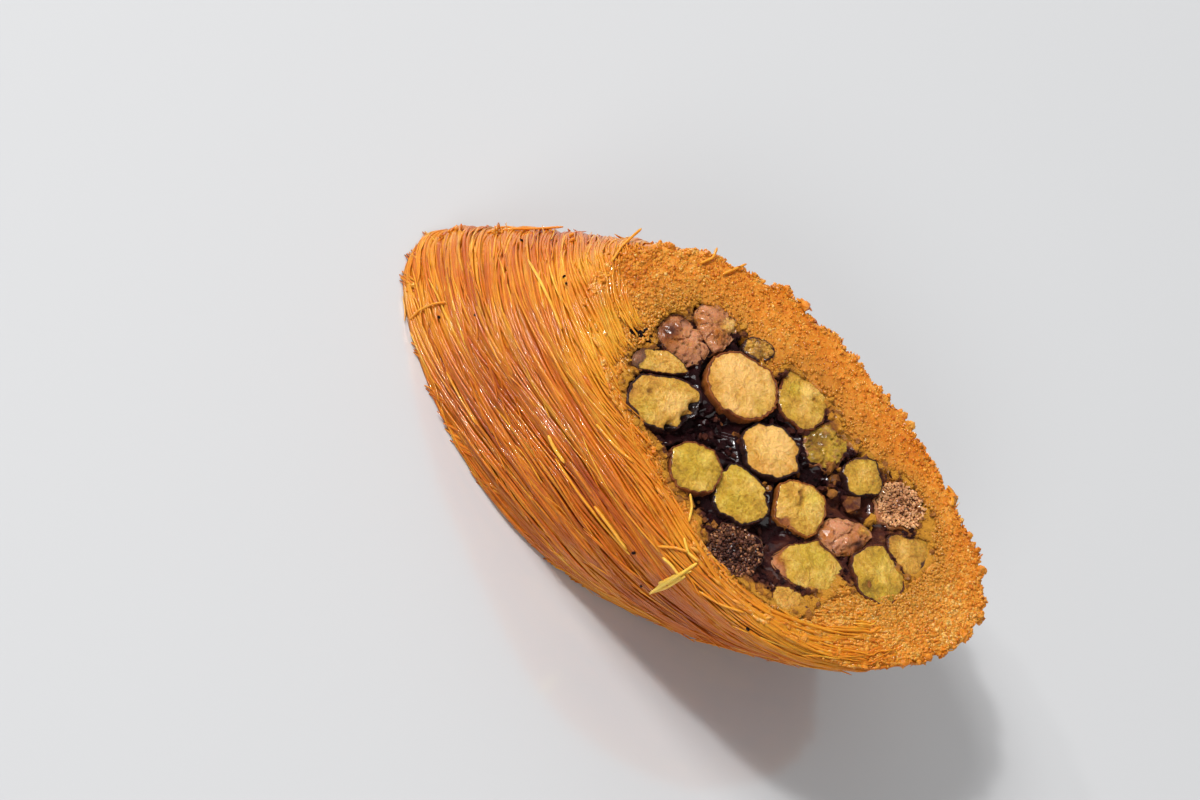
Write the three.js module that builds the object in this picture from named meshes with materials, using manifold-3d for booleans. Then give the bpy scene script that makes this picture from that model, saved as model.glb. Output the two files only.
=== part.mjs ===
// A slanting slice of a shredded-pastry roll, filled with whole pistachios.
//
// Millimetres, +Z up. The slice lies on its lower cut at z = 0, and its upper cut faces up.
// Both cuts are parallel and the roll leans between them towards +X, so the shape is built in
// a "roll frame": x and y are measured from the roll's centre line at the height z, and
// toSlice() adds the lean. The origin is under the middle of the whole piece's box.

import * as THREE from 'three';
import Module from 'manifold-3d';

const wasm = await Module();
wasm.setup();

// Driving dimensions of the slice
const THICKNESS = 24; // between the two cuts
const LEAN = 16.4; // how far the roll's centre moves along +X from the lower to the upper cut
const HALF_LENGTH = 33.2; // mean half length of a cut face, along X
const HALF_WIDTH = 19.5; // mean half width of a cut face, along Y
const WALL_BULGE = 0.9; // how far the pastry swells out halfway up
const BOX_CENTRE_X = -1; // the box's middle, seen from the middle of the centre line
const EDGE_ROUND = 1.5; // height over which the pastry rounds over into its upper cut
const EDGE_INSET = 1.1;

// The lobes that make each outline uneven: [waves round the outline, share, direction in degrees]
const UPPER_LOBES = [[1, 0.057, 48], [2, 0.072, 125], [3, 0.034, 47], [4, 0.038, 20]];
const LOWER_LOBES = [[1, 0.033, 125], [2, 0.025, -17], [3, 0.024, 40], [4, 0.018, 0]];

// The filling in the upper cut. The lower cut shows the same outline turned half round.
const FILLING = {
  x: -0.4,
  y: -1.7,
  halfLength: 25.2,
  halfWidth: 14,
  size: 1.035,
  lobes: [[1, 0.076, 56], [2, 0.045, -85], [3, 0.094, 45], [4, 0.058, 33]],
};
const FILLING_GAP = 0.36; // between the pastry and the filling
const PASTE_DROP_EDGE = 1.3; // depth of the dark paste below the cut, at its edge
const PASTE_DROP_MIDDLE = 3.0; // and in its middle
const PASTE_BUMP = 0.5;

// Shredded pastry wound round the roll as a steep screw of strands
const STRAND_PITCH = 0.78; // rise along the roll for each millimetre round it
const ROLL_RADIUS = 23.5; // mean radius of the roll, square to its centre line
const ROLL_STRETCH = 2.03; // how its flattened section shifts the length round it
const STRAND_BUNDLES = [[23, 0.3, 0], [17, 0.22, 65], [27, 0.12, 140]]; // [count, height, phase]

// Crumbly cut ends of the strands
const CRUMB_NEAR = 0.22; // height of crumbs where the strands run along the cut
const CRUMB_FAR = 0.5; // and where the cut goes across them
const NEAR_SIDE = 262; // direction of the first of these, in degrees
const RIM_FLAKES = [[109, 0.9], [53, 1.0], [35, 1.0], [21, 0.8], [319, 1.1]]; // [direction, reach]
const FLAKE_WIDTH = 3.2; // degrees

// Pistachios
const NUT_SIZE = 1.06; // a nut with its skin against its pale section
const NUT_GAP = 0.42; // between two nuts, and between a nut and the pastry
const POCKET_GAP = 0.36; // between a nut and the paste it sits in
const NUT_TURN = 50; // direction of a nut's first width, in degrees
const NUT_DEPTH = 1.15; // length below the cut for each millimetre of width
const NUT_DEPTH_MIN = 5.5;
const NUT_DEPTH_MAX = 10;
const NUT_RISE = 0.7; // the cut leaves nut faces up to this much above or below it
const BASE_NUT_SIZE = 1.05; // nuts of the lower cut against those of the upper one
const BASE_NUT_RECESS = 0.6; // their faces stay this far above the surface below
const BASE_NUT_WIDTH_MIN = 6.6; // smaller ones aren't repeated in the lower cut

// Each nut in the upper cut: x and y from the roll's centre line, its two widths and its look.
// "cut" shows a flat section, "hollow" a shrivelled shell and "whole" an unbroken side.
const UPPER_NUTS = [
  { x: -15.0, y: -6.0, widths: [10.5, 7.8], look: 'cut' },
  { x: -9.5, y: 4.2, widths: [10.3, 9.6], look: 'cut' },
  { x: -18.1, y: -1.6, widths: [6.8, 3.4], look: 'cut' },
  { x: -6.6, y: -9.9, widths: [7.4, 7.1], look: 'cut' },
  { x: -1.1, y: 0.2, widths: [8.3, 7.8], look: 'cut' },
  { x: 0.0, y: -7.9, widths: [7.3, 8.2], look: 'cut' },
  { x: 6.5, y: -2.7, widths: [7.4, 7.7], look: 'cut' },
  { x: -2.0, y: 9.5, widths: [6.7, 8.2], look: 'cut' },
  { x: 9.4, y: 7.4, widths: [5.8, 5.6], look: 'cut' },
  { x: 15.9, y: 8.8, widths: [8.1, 7.0], look: 'hollow' },
  { x: 12.8, y: -7.5, widths: [10.2, 6.8], look: 'cut' },
  { x: 19.3, y: -1.4, widths: [7.8, 8.2], look: 'cut' },
  { x: 20.9, y: 4.5, widths: [6.7, 5.8], look: 'cut' },
  { x: 4.5, y: -14.0, widths: [8.3, 7.4], look: 'hollow' },
  { x: 13.0, y: -0.9, widths: [7.9, 5.2], look: 'whole' },
  { x: -18.3, y: 3.4, widths: [7.1, 7.0], look: 'whole' },
  { x: -16.6, y: 8.4, widths: [5.4, 5.6], look: 'whole' },
  { x: -11.4, y: 10.4, widths: [4.6, 4.9], look: 'whole' },
  { x: 4.0, y: 7.4, widths: [6.7, 7.3], look: 'cut' },
  { x: 13.3, y: -13.4, widths: [5.9, 4.0], look: 'cut' },
];

// How finely each surface is divided
const COLUMNS = 128;
const WALL_ROWS = 15;
const RIM_RINGS = 4;
const PASTE_COLUMNS = 36;
const UPPER_NUT_SIDES = 12;
const LOWER_NUT_SIDES = 9;

const COLOURS = {
  pastry: 0xcf7c33,
  paste: 0x3b1c12,
  cut: 0xd6a552,
  whole: 0x9c5a32,
  hollow: 0x6a3a22,
};

const radians = THREE.MathUtils.degToRad;
const mix = THREE.MathUtils.lerp;

// A repeatable random number from 0 to 1 for each call, so every build is the same.
function seededRandom(seed) {
  let state = seed;
  return () => {
    state = (state + 0x6d2b79f5) | 0;
    let bits = Math.imul(state ^ (state >>> 15), 1 | state);
    bits = (bits + Math.imul(bits ^ (bits >>> 7), 61 | bits)) ^ bits;
    return ((bits ^ (bits >>> 14)) >>> 0) / 4294967296;
  };
}

function lobed(angle, lobes, mean = 1) {
  let radius = mean;
  for (const [waves, share, direction] of lobes) {
    radius += share * Math.cos(waves * (angle - radians(direction)));
  }
  return radius;
}

function turnedBy(angle, direction) {
  const turn = THREE.MathUtils.euclideanModulo(angle - radians(direction) + Math.PI, 2 * Math.PI);
  return turn - Math.PI;
}

// From the roll frame to the slice's own frame
function toSlice(x, y, z) {
  return new THREE.Vector3(x + LEAN * (z / THICKNESS - 0.5) - BOX_CENTRE_X, y, z);
}

// Strand bundles show as low ridges. Across them, a point's place is its distance along the
// roll less the distance that the screw has risen by that direction.
const AXIS_SLOPE = Math.hypot(LEAN, THICKNESS);
const ALONG_X = LEAN / AXIS_SLOPE;
const ALONG_Z = AXIS_SLOPE / THICKNESS;
const ONE_TURN = STRAND_PITCH * 2 * Math.PI * ROLL_RADIUS;

function strandRidges(angle, x, z) {
  const roundRoll = ROLL_RADIUS * angle - ROLL_STRETCH * Math.sin(2 * angle);
  const across = (ALONG_Z * z + ALONG_X * x - STRAND_PITCH * roundRoll) / ONE_TURN;
  let height = 0;
  for (const [count, ridge, phase] of STRAND_BUNDLES) {
    height += ridge * Math.cos(2 * Math.PI * count * across + radians(phase));
  }
  return height;
}

// A point on the pastry's outside, pushed out from it by `out`
function wallPoint(angle, z, out) {
  const level = z / THICKNESS;
  const size = mix(lobed(angle, LOWER_LOBES), lobed(angle, UPPER_LOBES), level);
  const x = HALF_LENGTH * size * Math.cos(angle);
  const y = HALF_WIDTH * size * Math.sin(angle);
  const outward = new THREE.Vector2(Math.cos(angle) / HALF_LENGTH, Math.sin(angle) / HALF_WIDTH);
  const swell = WALL_BULGE * 4 * level * (1 - level);
  outward.normalize().multiplyScalar(out + swell + strandRidges(angle, x, z));
  return outward.add(new THREE.Vector2(x, y));
}

// A point on the filling's outline at the height z, moved inwards by `inset`
function fillingPoint(angle, z, inset, share = 1) {
  const level = z / THICKNESS;
  const upper = lobed(angle, FILLING.lobes, FILLING.size);
  const lower = lobed(angle + Math.PI, FILLING.lobes, FILLING.size);
  const size = mix(lower, upper, level) * share;
  const reach = new THREE.Vector2(
    FILLING.halfLength * size * Math.cos(angle),
    FILLING.halfWidth * size * Math.sin(angle),
  );
  reach.setLength(Math.max(reach.length() - inset, 0));
  return reach.add(fillingCentre(z));
}

function fillingCentre(z) {
  const side = mix(-1, 1, z / THICKNESS);
  return new THREE.Vector2(FILLING.x * side, FILLING.y * side);
}

function insideFilling(x, y, z, margin) {
  const centre = fillingCentre(z);
  const angle = Math.atan2((y - centre.y) / FILLING.halfWidth, (x - centre.x) / FILLING.halfLength);
  const edge = fillingPoint(angle, z, margin).sub(centre);
  return Math.hypot(x - centre.x, y - centre.y) < edge.length();
}

// Closed geometry from points and triangles, with its faces turned outwards
function closedGeometry(points, faces) {
  let volume = 0;
  for (const [a, b, c] of faces) {
    volume += points[a].dot(points[b].clone().cross(points[c]));
  }
  const turned = volume < 0 ? faces.map(([a, b, c]) => [a, c, b]) : faces;
  const geometry = new THREE.BufferGeometry().setFromPoints(points);
  geometry.setIndex(turned.flat());
  geometry.computeVertexNormals();
  return geometry;
}

function strip(faces, first, second, count) {
  for (let i = 0; i < count; i++) {
    const next = (i + 1) % count;
    faces.push([first + i, first + next, second + next], [first + i, second + next, second + i]);
  }
}

// Rings joined one after another and the last to the first, as a tube bent into itself
function ringSolid(rings) {
  const count = rings[0].length;
  const faces = [];
  rings.forEach((ring, k) => strip(faces, k * count, ((k + 1) % rings.length) * count, count));
  return closedGeometry(rings.flat(), faces);
}

// Rings closed by a point at each end
function loftSolid(start, rings, end) {
  const count = rings[0].length;
  const points = [...rings.flat(), start, end];
  const last = (rings.length - 1) * count;
  const faces = [];
  for (let k = 0; k < rings.length - 1; k++) strip(faces, k * count, (k + 1) * count, count);
  for (let i = 0; i < count; i++) {
    const next = (i + 1) % count;
    faces.push([points.length - 2, next, i], [points.length - 1, last + i, last + next]);
  }
  return closedGeometry(points, faces);
}

function ringAt(count, pointAt) {
  return Array.from({ length: count }, (_, i) => pointAt((2 * Math.PI * i) / count, i));
}

function namedMesh(name, geometry, look, roughness) {
  const material = new THREE.MeshStandardMaterial({
    color: COLOURS[look],
    roughness,
    metalness: 0,
  });
  const mesh = new THREE.Mesh(geometry, material);
  mesh.name = name;
  return mesh;
}

// The shredded-pastry shell: ridged wall, crumbly upper cut, the hole for the filling and a
// flat lower cut that the slice rests on
function pastryShell() {
  const random = seededRandom(11);
  const crumb = ringAt(COLUMNS, (angle) => {
    const away = 0.5 - 0.5 * Math.cos(turnedBy(angle, NEAR_SIDE));
    const flake = RIM_FLAKES.reduce((sum, [direction, reach]) => {
      const off = THREE.MathUtils.radToDeg(turnedBy(angle, direction)) / FLAKE_WIDTH;
      return sum + reach * Math.exp(-off * off);
    }, 0);
    return { height: mix(CRUMB_NEAR, CRUMB_FAR, away), flake };
  });
  const rough = (i) => crumb[i].height * (2 * random() - 1);

  const rings = [];
  for (let row = 0; row <= WALL_ROWS; row++) {
    const z = (THICKNESS - EDGE_ROUND * 0.4) * (row / WALL_ROWS);
    const rounded = Math.max(0, (z - (THICKNESS - EDGE_ROUND)) / EDGE_ROUND);
    const foot = row === 0 ? 0.5 : 0;
    rings.push(ringAt(COLUMNS, (angle, i) => {
      const ragged = row >= WALL_ROWS - 1 ? rough(i) + crumb[i].flake * rounded : 0;
      const place = wallPoint(angle, z, ragged - foot - EDGE_INSET * rounded ** 2);
      return toSlice(place.x, place.y, z);
    }));
  }
  for (let ring = 0; ring < RIM_RINGS; ring++) {
    const share = ring / RIM_RINGS;
    rings.push(ringAt(COLUMNS, (angle, i) => {
      const outer = wallPoint(angle, THICKNESS, -EDGE_INSET + 0.8 * crumb[i].flake);
      const place = outer.lerp(fillingPoint(angle, THICKNESS, 0), share);
      const flakeTop = ring === 0 ? 0.4 * crumb[i].flake : 0;
      return toSlice(place.x, place.y, THICKNESS + rough(i) + flakeTop);
    }));
  }
  for (const z of [THICKNESS - 0.4, THICKNESS * 0.5, 0]) {
    rings.push(ringAt(COLUMNS, (angle) => {
      const place = fillingPoint(angle, z, 0);
      return toSlice(place.x, place.y, z);
    }));
  }
  return ringSolid(rings);
}

// The dark sticky paste between the nuts, as one body that runs through the slice
function pasteBody() {
  const random = seededRandom(23);
  const surface = (share, top) => {
    const drop = mix(PASTE_DROP_MIDDLE, PASTE_DROP_EDGE, share ** 3);
    const height = THICKNESS / 2 + (top ? 1 : -1) * (THICKNESS / 2 - drop);
    return ringAt(PASTE_COLUMNS, (angle) => {
      const z = height + PASTE_BUMP * (2 * random() - 1);
      const place = fillingPoint(angle, z, share < 1 ? 0 : FILLING_GAP, share);
      return toSlice(place.x, place.y, z);
    });
  };
  const middle = (z) => {
    const centre = fillingCentre(z);
    return toSlice(centre.x, centre.y, z);
  };
  const sides = [0.5].map((level) => ringAt(PASTE_COLUMNS, (angle) => {
    const z = THICKNESS * level;
    const place = fillingPoint(angle, z, FILLING_GAP);
    return toSlice(place.x, place.y, z);
  }));
  const shares = [0.3, 0.6, 0.85, 1];
  const lower = shares.map((share) => surface(share, false));
  const upper = shares.map((share) => surface(share, true)).reverse();
  return loftSolid(
    middle(PASTE_DROP_MIDDLE),
    [...lower, ...sides, ...upper],
    middle(THICKNESS - PASTE_DROP_MIDDLE),
  );
}

// A nut's own half width in a direction, before its neighbours press it
function nutReach(nut, angle) {
  const turned = angle - radians(NUT_TURN + nut.turn);
  const [first, second] = nut.widths;
  const oval = (0.5 * NUT_SIZE) / Math.hypot(Math.cos(turned) / first, Math.sin(turned) / second);
  return oval * (1 + nut.uneven * Math.cos(3 * turned + nut.phase));
}

// A nut's middle at the height z: it drifts with the filling as it goes down from its cut
function nutCentre(nut, z) {
  const cut = nut.up > 0 ? THICKNESS : 0;
  return new THREE.Vector2(nut.x, nut.y).add(fillingCentre(z)).sub(fillingCentre(cut));
}

// Nuts press each other flat where they meet
function pressedReach(nut, others, angle, wanted) {
  let reach = wanted;
  for (const other of others) {
    if (other === nut) continue;
    const apart = Math.hypot(other.x - nut.x, other.y - nut.y);
    const direction = Math.atan2(other.y - nut.y, other.x - nut.x);
    const towards = Math.cos(angle - direction);
    if (towards <= 0) continue;
    const mine = nutReach(nut, direction);
    const theirs = nutReach(other, direction + Math.PI);
    const meeting = (apart * mine) / (mine + theirs) - NUT_GAP / 2;
    reach = Math.min(reach, meeting / towards);
  }
  return reach;
}

// and stay inside the pastry
function heldReach(centre, angle, z, wanted) {
  const step = 0.1;
  let reach = wanted;
  const inside = () => insideFilling(
    centre.x + reach * Math.cos(angle),
    centre.y + reach * Math.sin(angle),
    z,
    NUT_GAP,
  );
  while (reach > step && !inside()) reach -= step;
  return reach;
}

// Where a nut's surface runs: [depth as a share of its length, drop below its face, width share]
const NUT_SHAPES = {
  cut: { middle: -0.2, levels: [[0, 0, 0.55], [0, 0.1, 0.93], [0.08, 0.1, 1]] },
  hollow: { middle: 2.6, levels: [[0, 2.0, 0.5], [0, 0, 0.86], [0.1, 0.2, 1]] },
  whole: { middle: -0.6, levels: [[0, 0.1, 0.5], [0, 1.1, 0.84], [0.18, 1.1, 1]] },
};
const NUT_ROOT = [[0.55, 0, 0.97], [0.86, 0, 0.7]];

function nutRing(nut, others, depth, width, pocket = false) {
  const z = nut.face - nut.up * depth;
  const centre = nutCentre(nut, z);
  return ringAt(nut.sides, (angle) => {
    const pressed = pressedReach(nut, others, angle, nutReach(nut, angle) * width);
    const reach = pocket ? pressed + POCKET_GAP : heldReach(centre, angle, z, pressed);
    return toSlice(centre.x + reach * Math.cos(angle), centre.y + reach * Math.sin(angle), z);
  });
}

function nutMiddle(nut, depth) {
  const z = nut.face - nut.up * depth;
  const centre = nutCentre(nut, z);
  return toSlice(centre.x, centre.y, z);
}

function nutSolid(nut, others) {
  const shape = NUT_SHAPES[nut.look];
  const levels = [...shape.levels, ...NUT_ROOT];
  const rings = levels.map(([share, drop, width]) => (
    nutRing(nut, others, drop + share * nut.depth, width)
  ));
  return loftSolid(nutMiddle(nut, shape.middle), rings, nutMiddle(nut, nut.depth));
}

// The space a nut takes out of the paste, with a small gap all round and open at the cut
function nutPocket(nut, others) {
  const above = -3;
  const rings = [above, nut.depth * 0.87].map((depth) => nutRing(nut, others, depth, 1, true));
  return loftSolid(nutMiddle(nut, above), rings, nutMiddle(nut, nut.depth + POCKET_GAP));
}

function toManifold(geometry) {
  return new wasm.Manifold(new wasm.Mesh({
    numProp: 3,
    vertProperties: new Float32Array(geometry.getAttribute('position').array),
    triVerts: new Uint32Array(geometry.getIndex().array),
  }));
}

function fromManifold(solid) {
  const mesh = solid.getMesh();
  const geometry = new THREE.BufferGeometry();
  geometry.setAttribute('position', new THREE.BufferAttribute(mesh.vertProperties, 3));
  geometry.setIndex(new THREE.BufferAttribute(mesh.triVerts, 1));
  geometry.computeVertexNormals();
  return geometry;
}

// Cuts the nuts' pockets and keeps the main body, without the scraps between close nuts
function cutPockets(geometry, pockets) {
  let body = toManifold(geometry);
  for (const pocket of pockets) body = body.subtract(toManifold(pocket));
  const pieces = body.decompose();
  pieces.sort((a, b) => b.volume() - a.volume());
  return fromManifold(pieces[0]);
}

// Gives a nut its own small differences, its length and the height of its face
function finishNut(nut, random, up) {
  const width = (nut.widths[0] + nut.widths[1]) / 2;
  const swing = 2 * random() - 1;
  return {
    ...nut,
    up,
    sides: up > 0 ? UPPER_NUT_SIDES : LOWER_NUT_SIDES,
    turn: 12 * swing,
    uneven: 0.05 + 0.04 * random(),
    phase: 2 * Math.PI * random(),
    depth: THREE.MathUtils.clamp(NUT_DEPTH * width, NUT_DEPTH_MIN, NUT_DEPTH_MAX),
    face: up > 0
      ? THICKNESS + NUT_RISE * (2 * random() - 1)
      : BASE_NUT_RECESS + NUT_RISE * random(),
  };
}

function upperNuts() {
  const random = seededRandom(37);
  return UPPER_NUTS.map((nut) => finishNut(nut, random, 1));
}

// The lower cut shows the larger nuts again, turned half round
function lowerNuts() {
  const random = seededRandom(53);
  return UPPER_NUTS.filter((nut) => Math.min(...nut.widths) > BASE_NUT_WIDTH_MIN).map((nut) => {
    const widths = nut.widths.map((width) => width * BASE_NUT_SIZE);
    return finishNut({ x: -nut.x, y: -nut.y, widths, look: nut.look }, random, -1);
  });
}

const slice = new THREE.Group();
slice.add(namedMesh('pastry_shell', pastryShell(), 'pastry', 0.55));

const upper = upperNuts();
const lower = lowerNuts();
const pockets = [
  ...upper.map((nut) => nutPocket(nut, upper)),
  ...lower.map((nut) => nutPocket(nut, lower)),
];
slice.add(namedMesh('filling_paste', cutPockets(pasteBody(), pockets), 'paste', 0.3));

for (const [nuts, place] of [[upper, 'upper'], [lower, 'lower']]) {
  nuts.forEach((nut, index) => {
    const number = String(index + 1).padStart(2, '0');
    slice.add(namedMesh(`pistachio_${place}_${number}`, nutSolid(nut, nuts), nut.look, 0.6));
  });
}

export default slice;
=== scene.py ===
# %% [markdown]
# # A slice of shredded-pastry roll with pistachios
# The real piece is a roll of hair-fine pastry strands wound round whole pistachios, baked, soaked
# in syrup and cut across on a slant. The solid model holds its form. This lesson dresses it:
# strands, crumbly cuts, nuts and dark sticky paste.

import math

import bpy
import numpy as np
from mathutils import Matrix, Vector, noise


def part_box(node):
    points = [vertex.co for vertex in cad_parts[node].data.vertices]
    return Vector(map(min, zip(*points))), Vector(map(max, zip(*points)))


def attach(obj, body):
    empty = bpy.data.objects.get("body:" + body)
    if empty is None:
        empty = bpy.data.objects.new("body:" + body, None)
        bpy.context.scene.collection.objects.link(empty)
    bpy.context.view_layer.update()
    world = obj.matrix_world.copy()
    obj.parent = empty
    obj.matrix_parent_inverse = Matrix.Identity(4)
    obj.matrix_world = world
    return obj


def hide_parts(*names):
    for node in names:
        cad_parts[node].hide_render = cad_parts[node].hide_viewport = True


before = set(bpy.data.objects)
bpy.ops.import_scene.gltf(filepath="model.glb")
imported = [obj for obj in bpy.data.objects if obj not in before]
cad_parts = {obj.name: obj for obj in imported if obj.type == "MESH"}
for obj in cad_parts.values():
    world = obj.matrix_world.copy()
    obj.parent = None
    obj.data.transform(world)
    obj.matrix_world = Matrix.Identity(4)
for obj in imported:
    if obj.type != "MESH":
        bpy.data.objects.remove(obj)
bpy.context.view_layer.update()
bpy.ops.object.select_all(action="DESELECT")

# %% [markdown]
# ## The sizes of the slice
# Every shape below follows the same few sizes as the solid model, in millimetres. The roll leans
# towards +X between its two cuts, so x and y are measured from its centre line at each height.

# %% Sizes in millimetres
MM = 0.001
THICKNESS = 24.0
LEAN = 16.4
HALF_LENGTH = 33.2
HALF_WIDTH = 19.5
WALL_BULGE = 0.9
BOX_CENTRE_X = -1.0
# waves round the outline, their share of the width and their direction
UPPER_LOBES = ((1, 0.057, 48), (2, 0.072, 125), (3, 0.034, 47), (4, 0.038, 20))
LOWER_LOBES = ((1, 0.033, 125), (2, 0.025, -17), (3, 0.024, 40), (4, 0.018, 0))

FILLING_X = -0.4
FILLING_Y = -1.7
FILLING_HALF_LENGTH = 25.2
FILLING_HALF_WIDTH = 14.0
FILLING_SIZE = 1.035
FILLING_LOBES = ((1, 0.076, 56), (2, 0.045, -85), (3, 0.094, 45), (4, 0.058, 33))

STRAND_PITCH = 0.78  # rise along the roll for each millimetre round it
ROLL_RADIUS = 23.5
ROLL_STRETCH = 2.03
STRAND_BUNDLES = ((23, 0.3, 0), (17, 0.22, 65), (27, 0.12, 140))
AXIS_SLOPE = math.hypot(LEAN, THICKNESS)
ALONG_X = LEAN / AXIS_SLOPE
ALONG_Z = AXIS_SLOPE / THICKNESS
ONE_TURN = STRAND_PITCH * 2 * math.pi * ROLL_RADIUS
NEAR_SIDE = math.radians(250)  # where the strands run along the cut
NEAR_FROM, NEAR_FULL = -0.15, 0.7  # cosines of the angle from there, as the nearness grows


def lobed(angle, lobes, mean=1.0):
    radius = mean + 0.0 * angle
    for waves, share, direction in lobes:
        radius = radius + share * np.cos(waves * (angle - math.radians(direction)))
    return radius


def mix(a, b, share):
    return a + (b - a) * share


def smooth_step(low, high, value):
    share = np.clip((value - low) / (high - low), 0, 1)
    return share * share * (3 - 2 * share)


def nearness(angle):
    """1 where the strands run along the cut, 0 on the far side."""
    return smooth_step(NEAR_FROM, NEAR_FULL, np.cos(angle - NEAR_SIDE))


def cut_height(up):
    """The height of the upper cut for 1, of the lower one for -1."""
    return THICKNESS if up > 0 else 0.0


def to_slice(x, y, z):
    """From the centre line at a height to the leaning slice."""
    leaning = x + LEAN * (z / THICKNESS - 0.5) - BOX_CENTRE_X
    return np.stack([leaning, y + 0 * x, z + 0 * x], axis=-1)


def strand_rise(angle, x):
    """How far up a strand is, apart from where it started, at an angle round the roll."""
    round_roll = ROLL_RADIUS * angle - ROLL_STRETCH * np.sin(2 * angle)
    return (STRAND_PITCH * round_roll - ALONG_X * x) / ALONG_Z


def strand_ridges(angle, x, z):
    across = ALONG_Z * (z - strand_rise(angle, x)) / ONE_TURN
    height = 0.0
    for count, ridge, phase in STRAND_BUNDLES:
        height = height + ridge * np.cos(2 * math.pi * count * across + math.radians(phase))
    return height


def outline(angle, z):
    level = z / THICKNESS
    size = mix(lobed(angle, LOWER_LOBES), lobed(angle, UPPER_LOBES), level)
    return HALF_LENGTH * size * np.cos(angle), HALF_WIDTH * size * np.sin(angle)


def wall_xy(angle, z, out, ridged):
    """A point of the wall, `out` mm proud of it, with some share of its ridges."""
    x, y = outline(angle, z)
    level = z / THICKNESS
    push = out + WALL_BULGE * 4 * level * (1 - level) + ridged * strand_ridges(angle, x, z)
    across = np.cos(angle) / HALF_LENGTH
    along = np.sin(angle) / HALF_WIDTH
    length = np.hypot(across, along)
    return x + push * across / length, y + push * along / length


def filling_centre(z):
    side = 2 * z / THICKNESS - 1
    return FILLING_X * side, FILLING_Y * side


def filling_xy(angle, z, inset=0.0, share=1.0):
    upper = lobed(angle, FILLING_LOBES, FILLING_SIZE)
    lower = lobed(angle + math.pi, FILLING_LOBES, FILLING_SIZE)
    size = mix(lower, upper, z / THICKNESS) * share
    x = FILLING_HALF_LENGTH * size * np.cos(angle)
    y = FILLING_HALF_WIDTH * size * np.sin(angle)
    length = np.maximum(np.hypot(x, y), 1e-6)
    kept = np.maximum(length - inset, 0) / length
    centre_x, centre_y = filling_centre(z)
    return centre_x + x * kept, centre_y + y * kept


print("the cuts are about", round(2 * HALF_LENGTH), "by", round(2 * HALF_WIDTH), "mm")

# %% [markdown]
# ## Pistachios
# Each nut stands in for one solid of the model, at its height. Nuts press each other flat where
# they meet. The knife leaves a slightly rough section with the dark skin standing round it.

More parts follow.
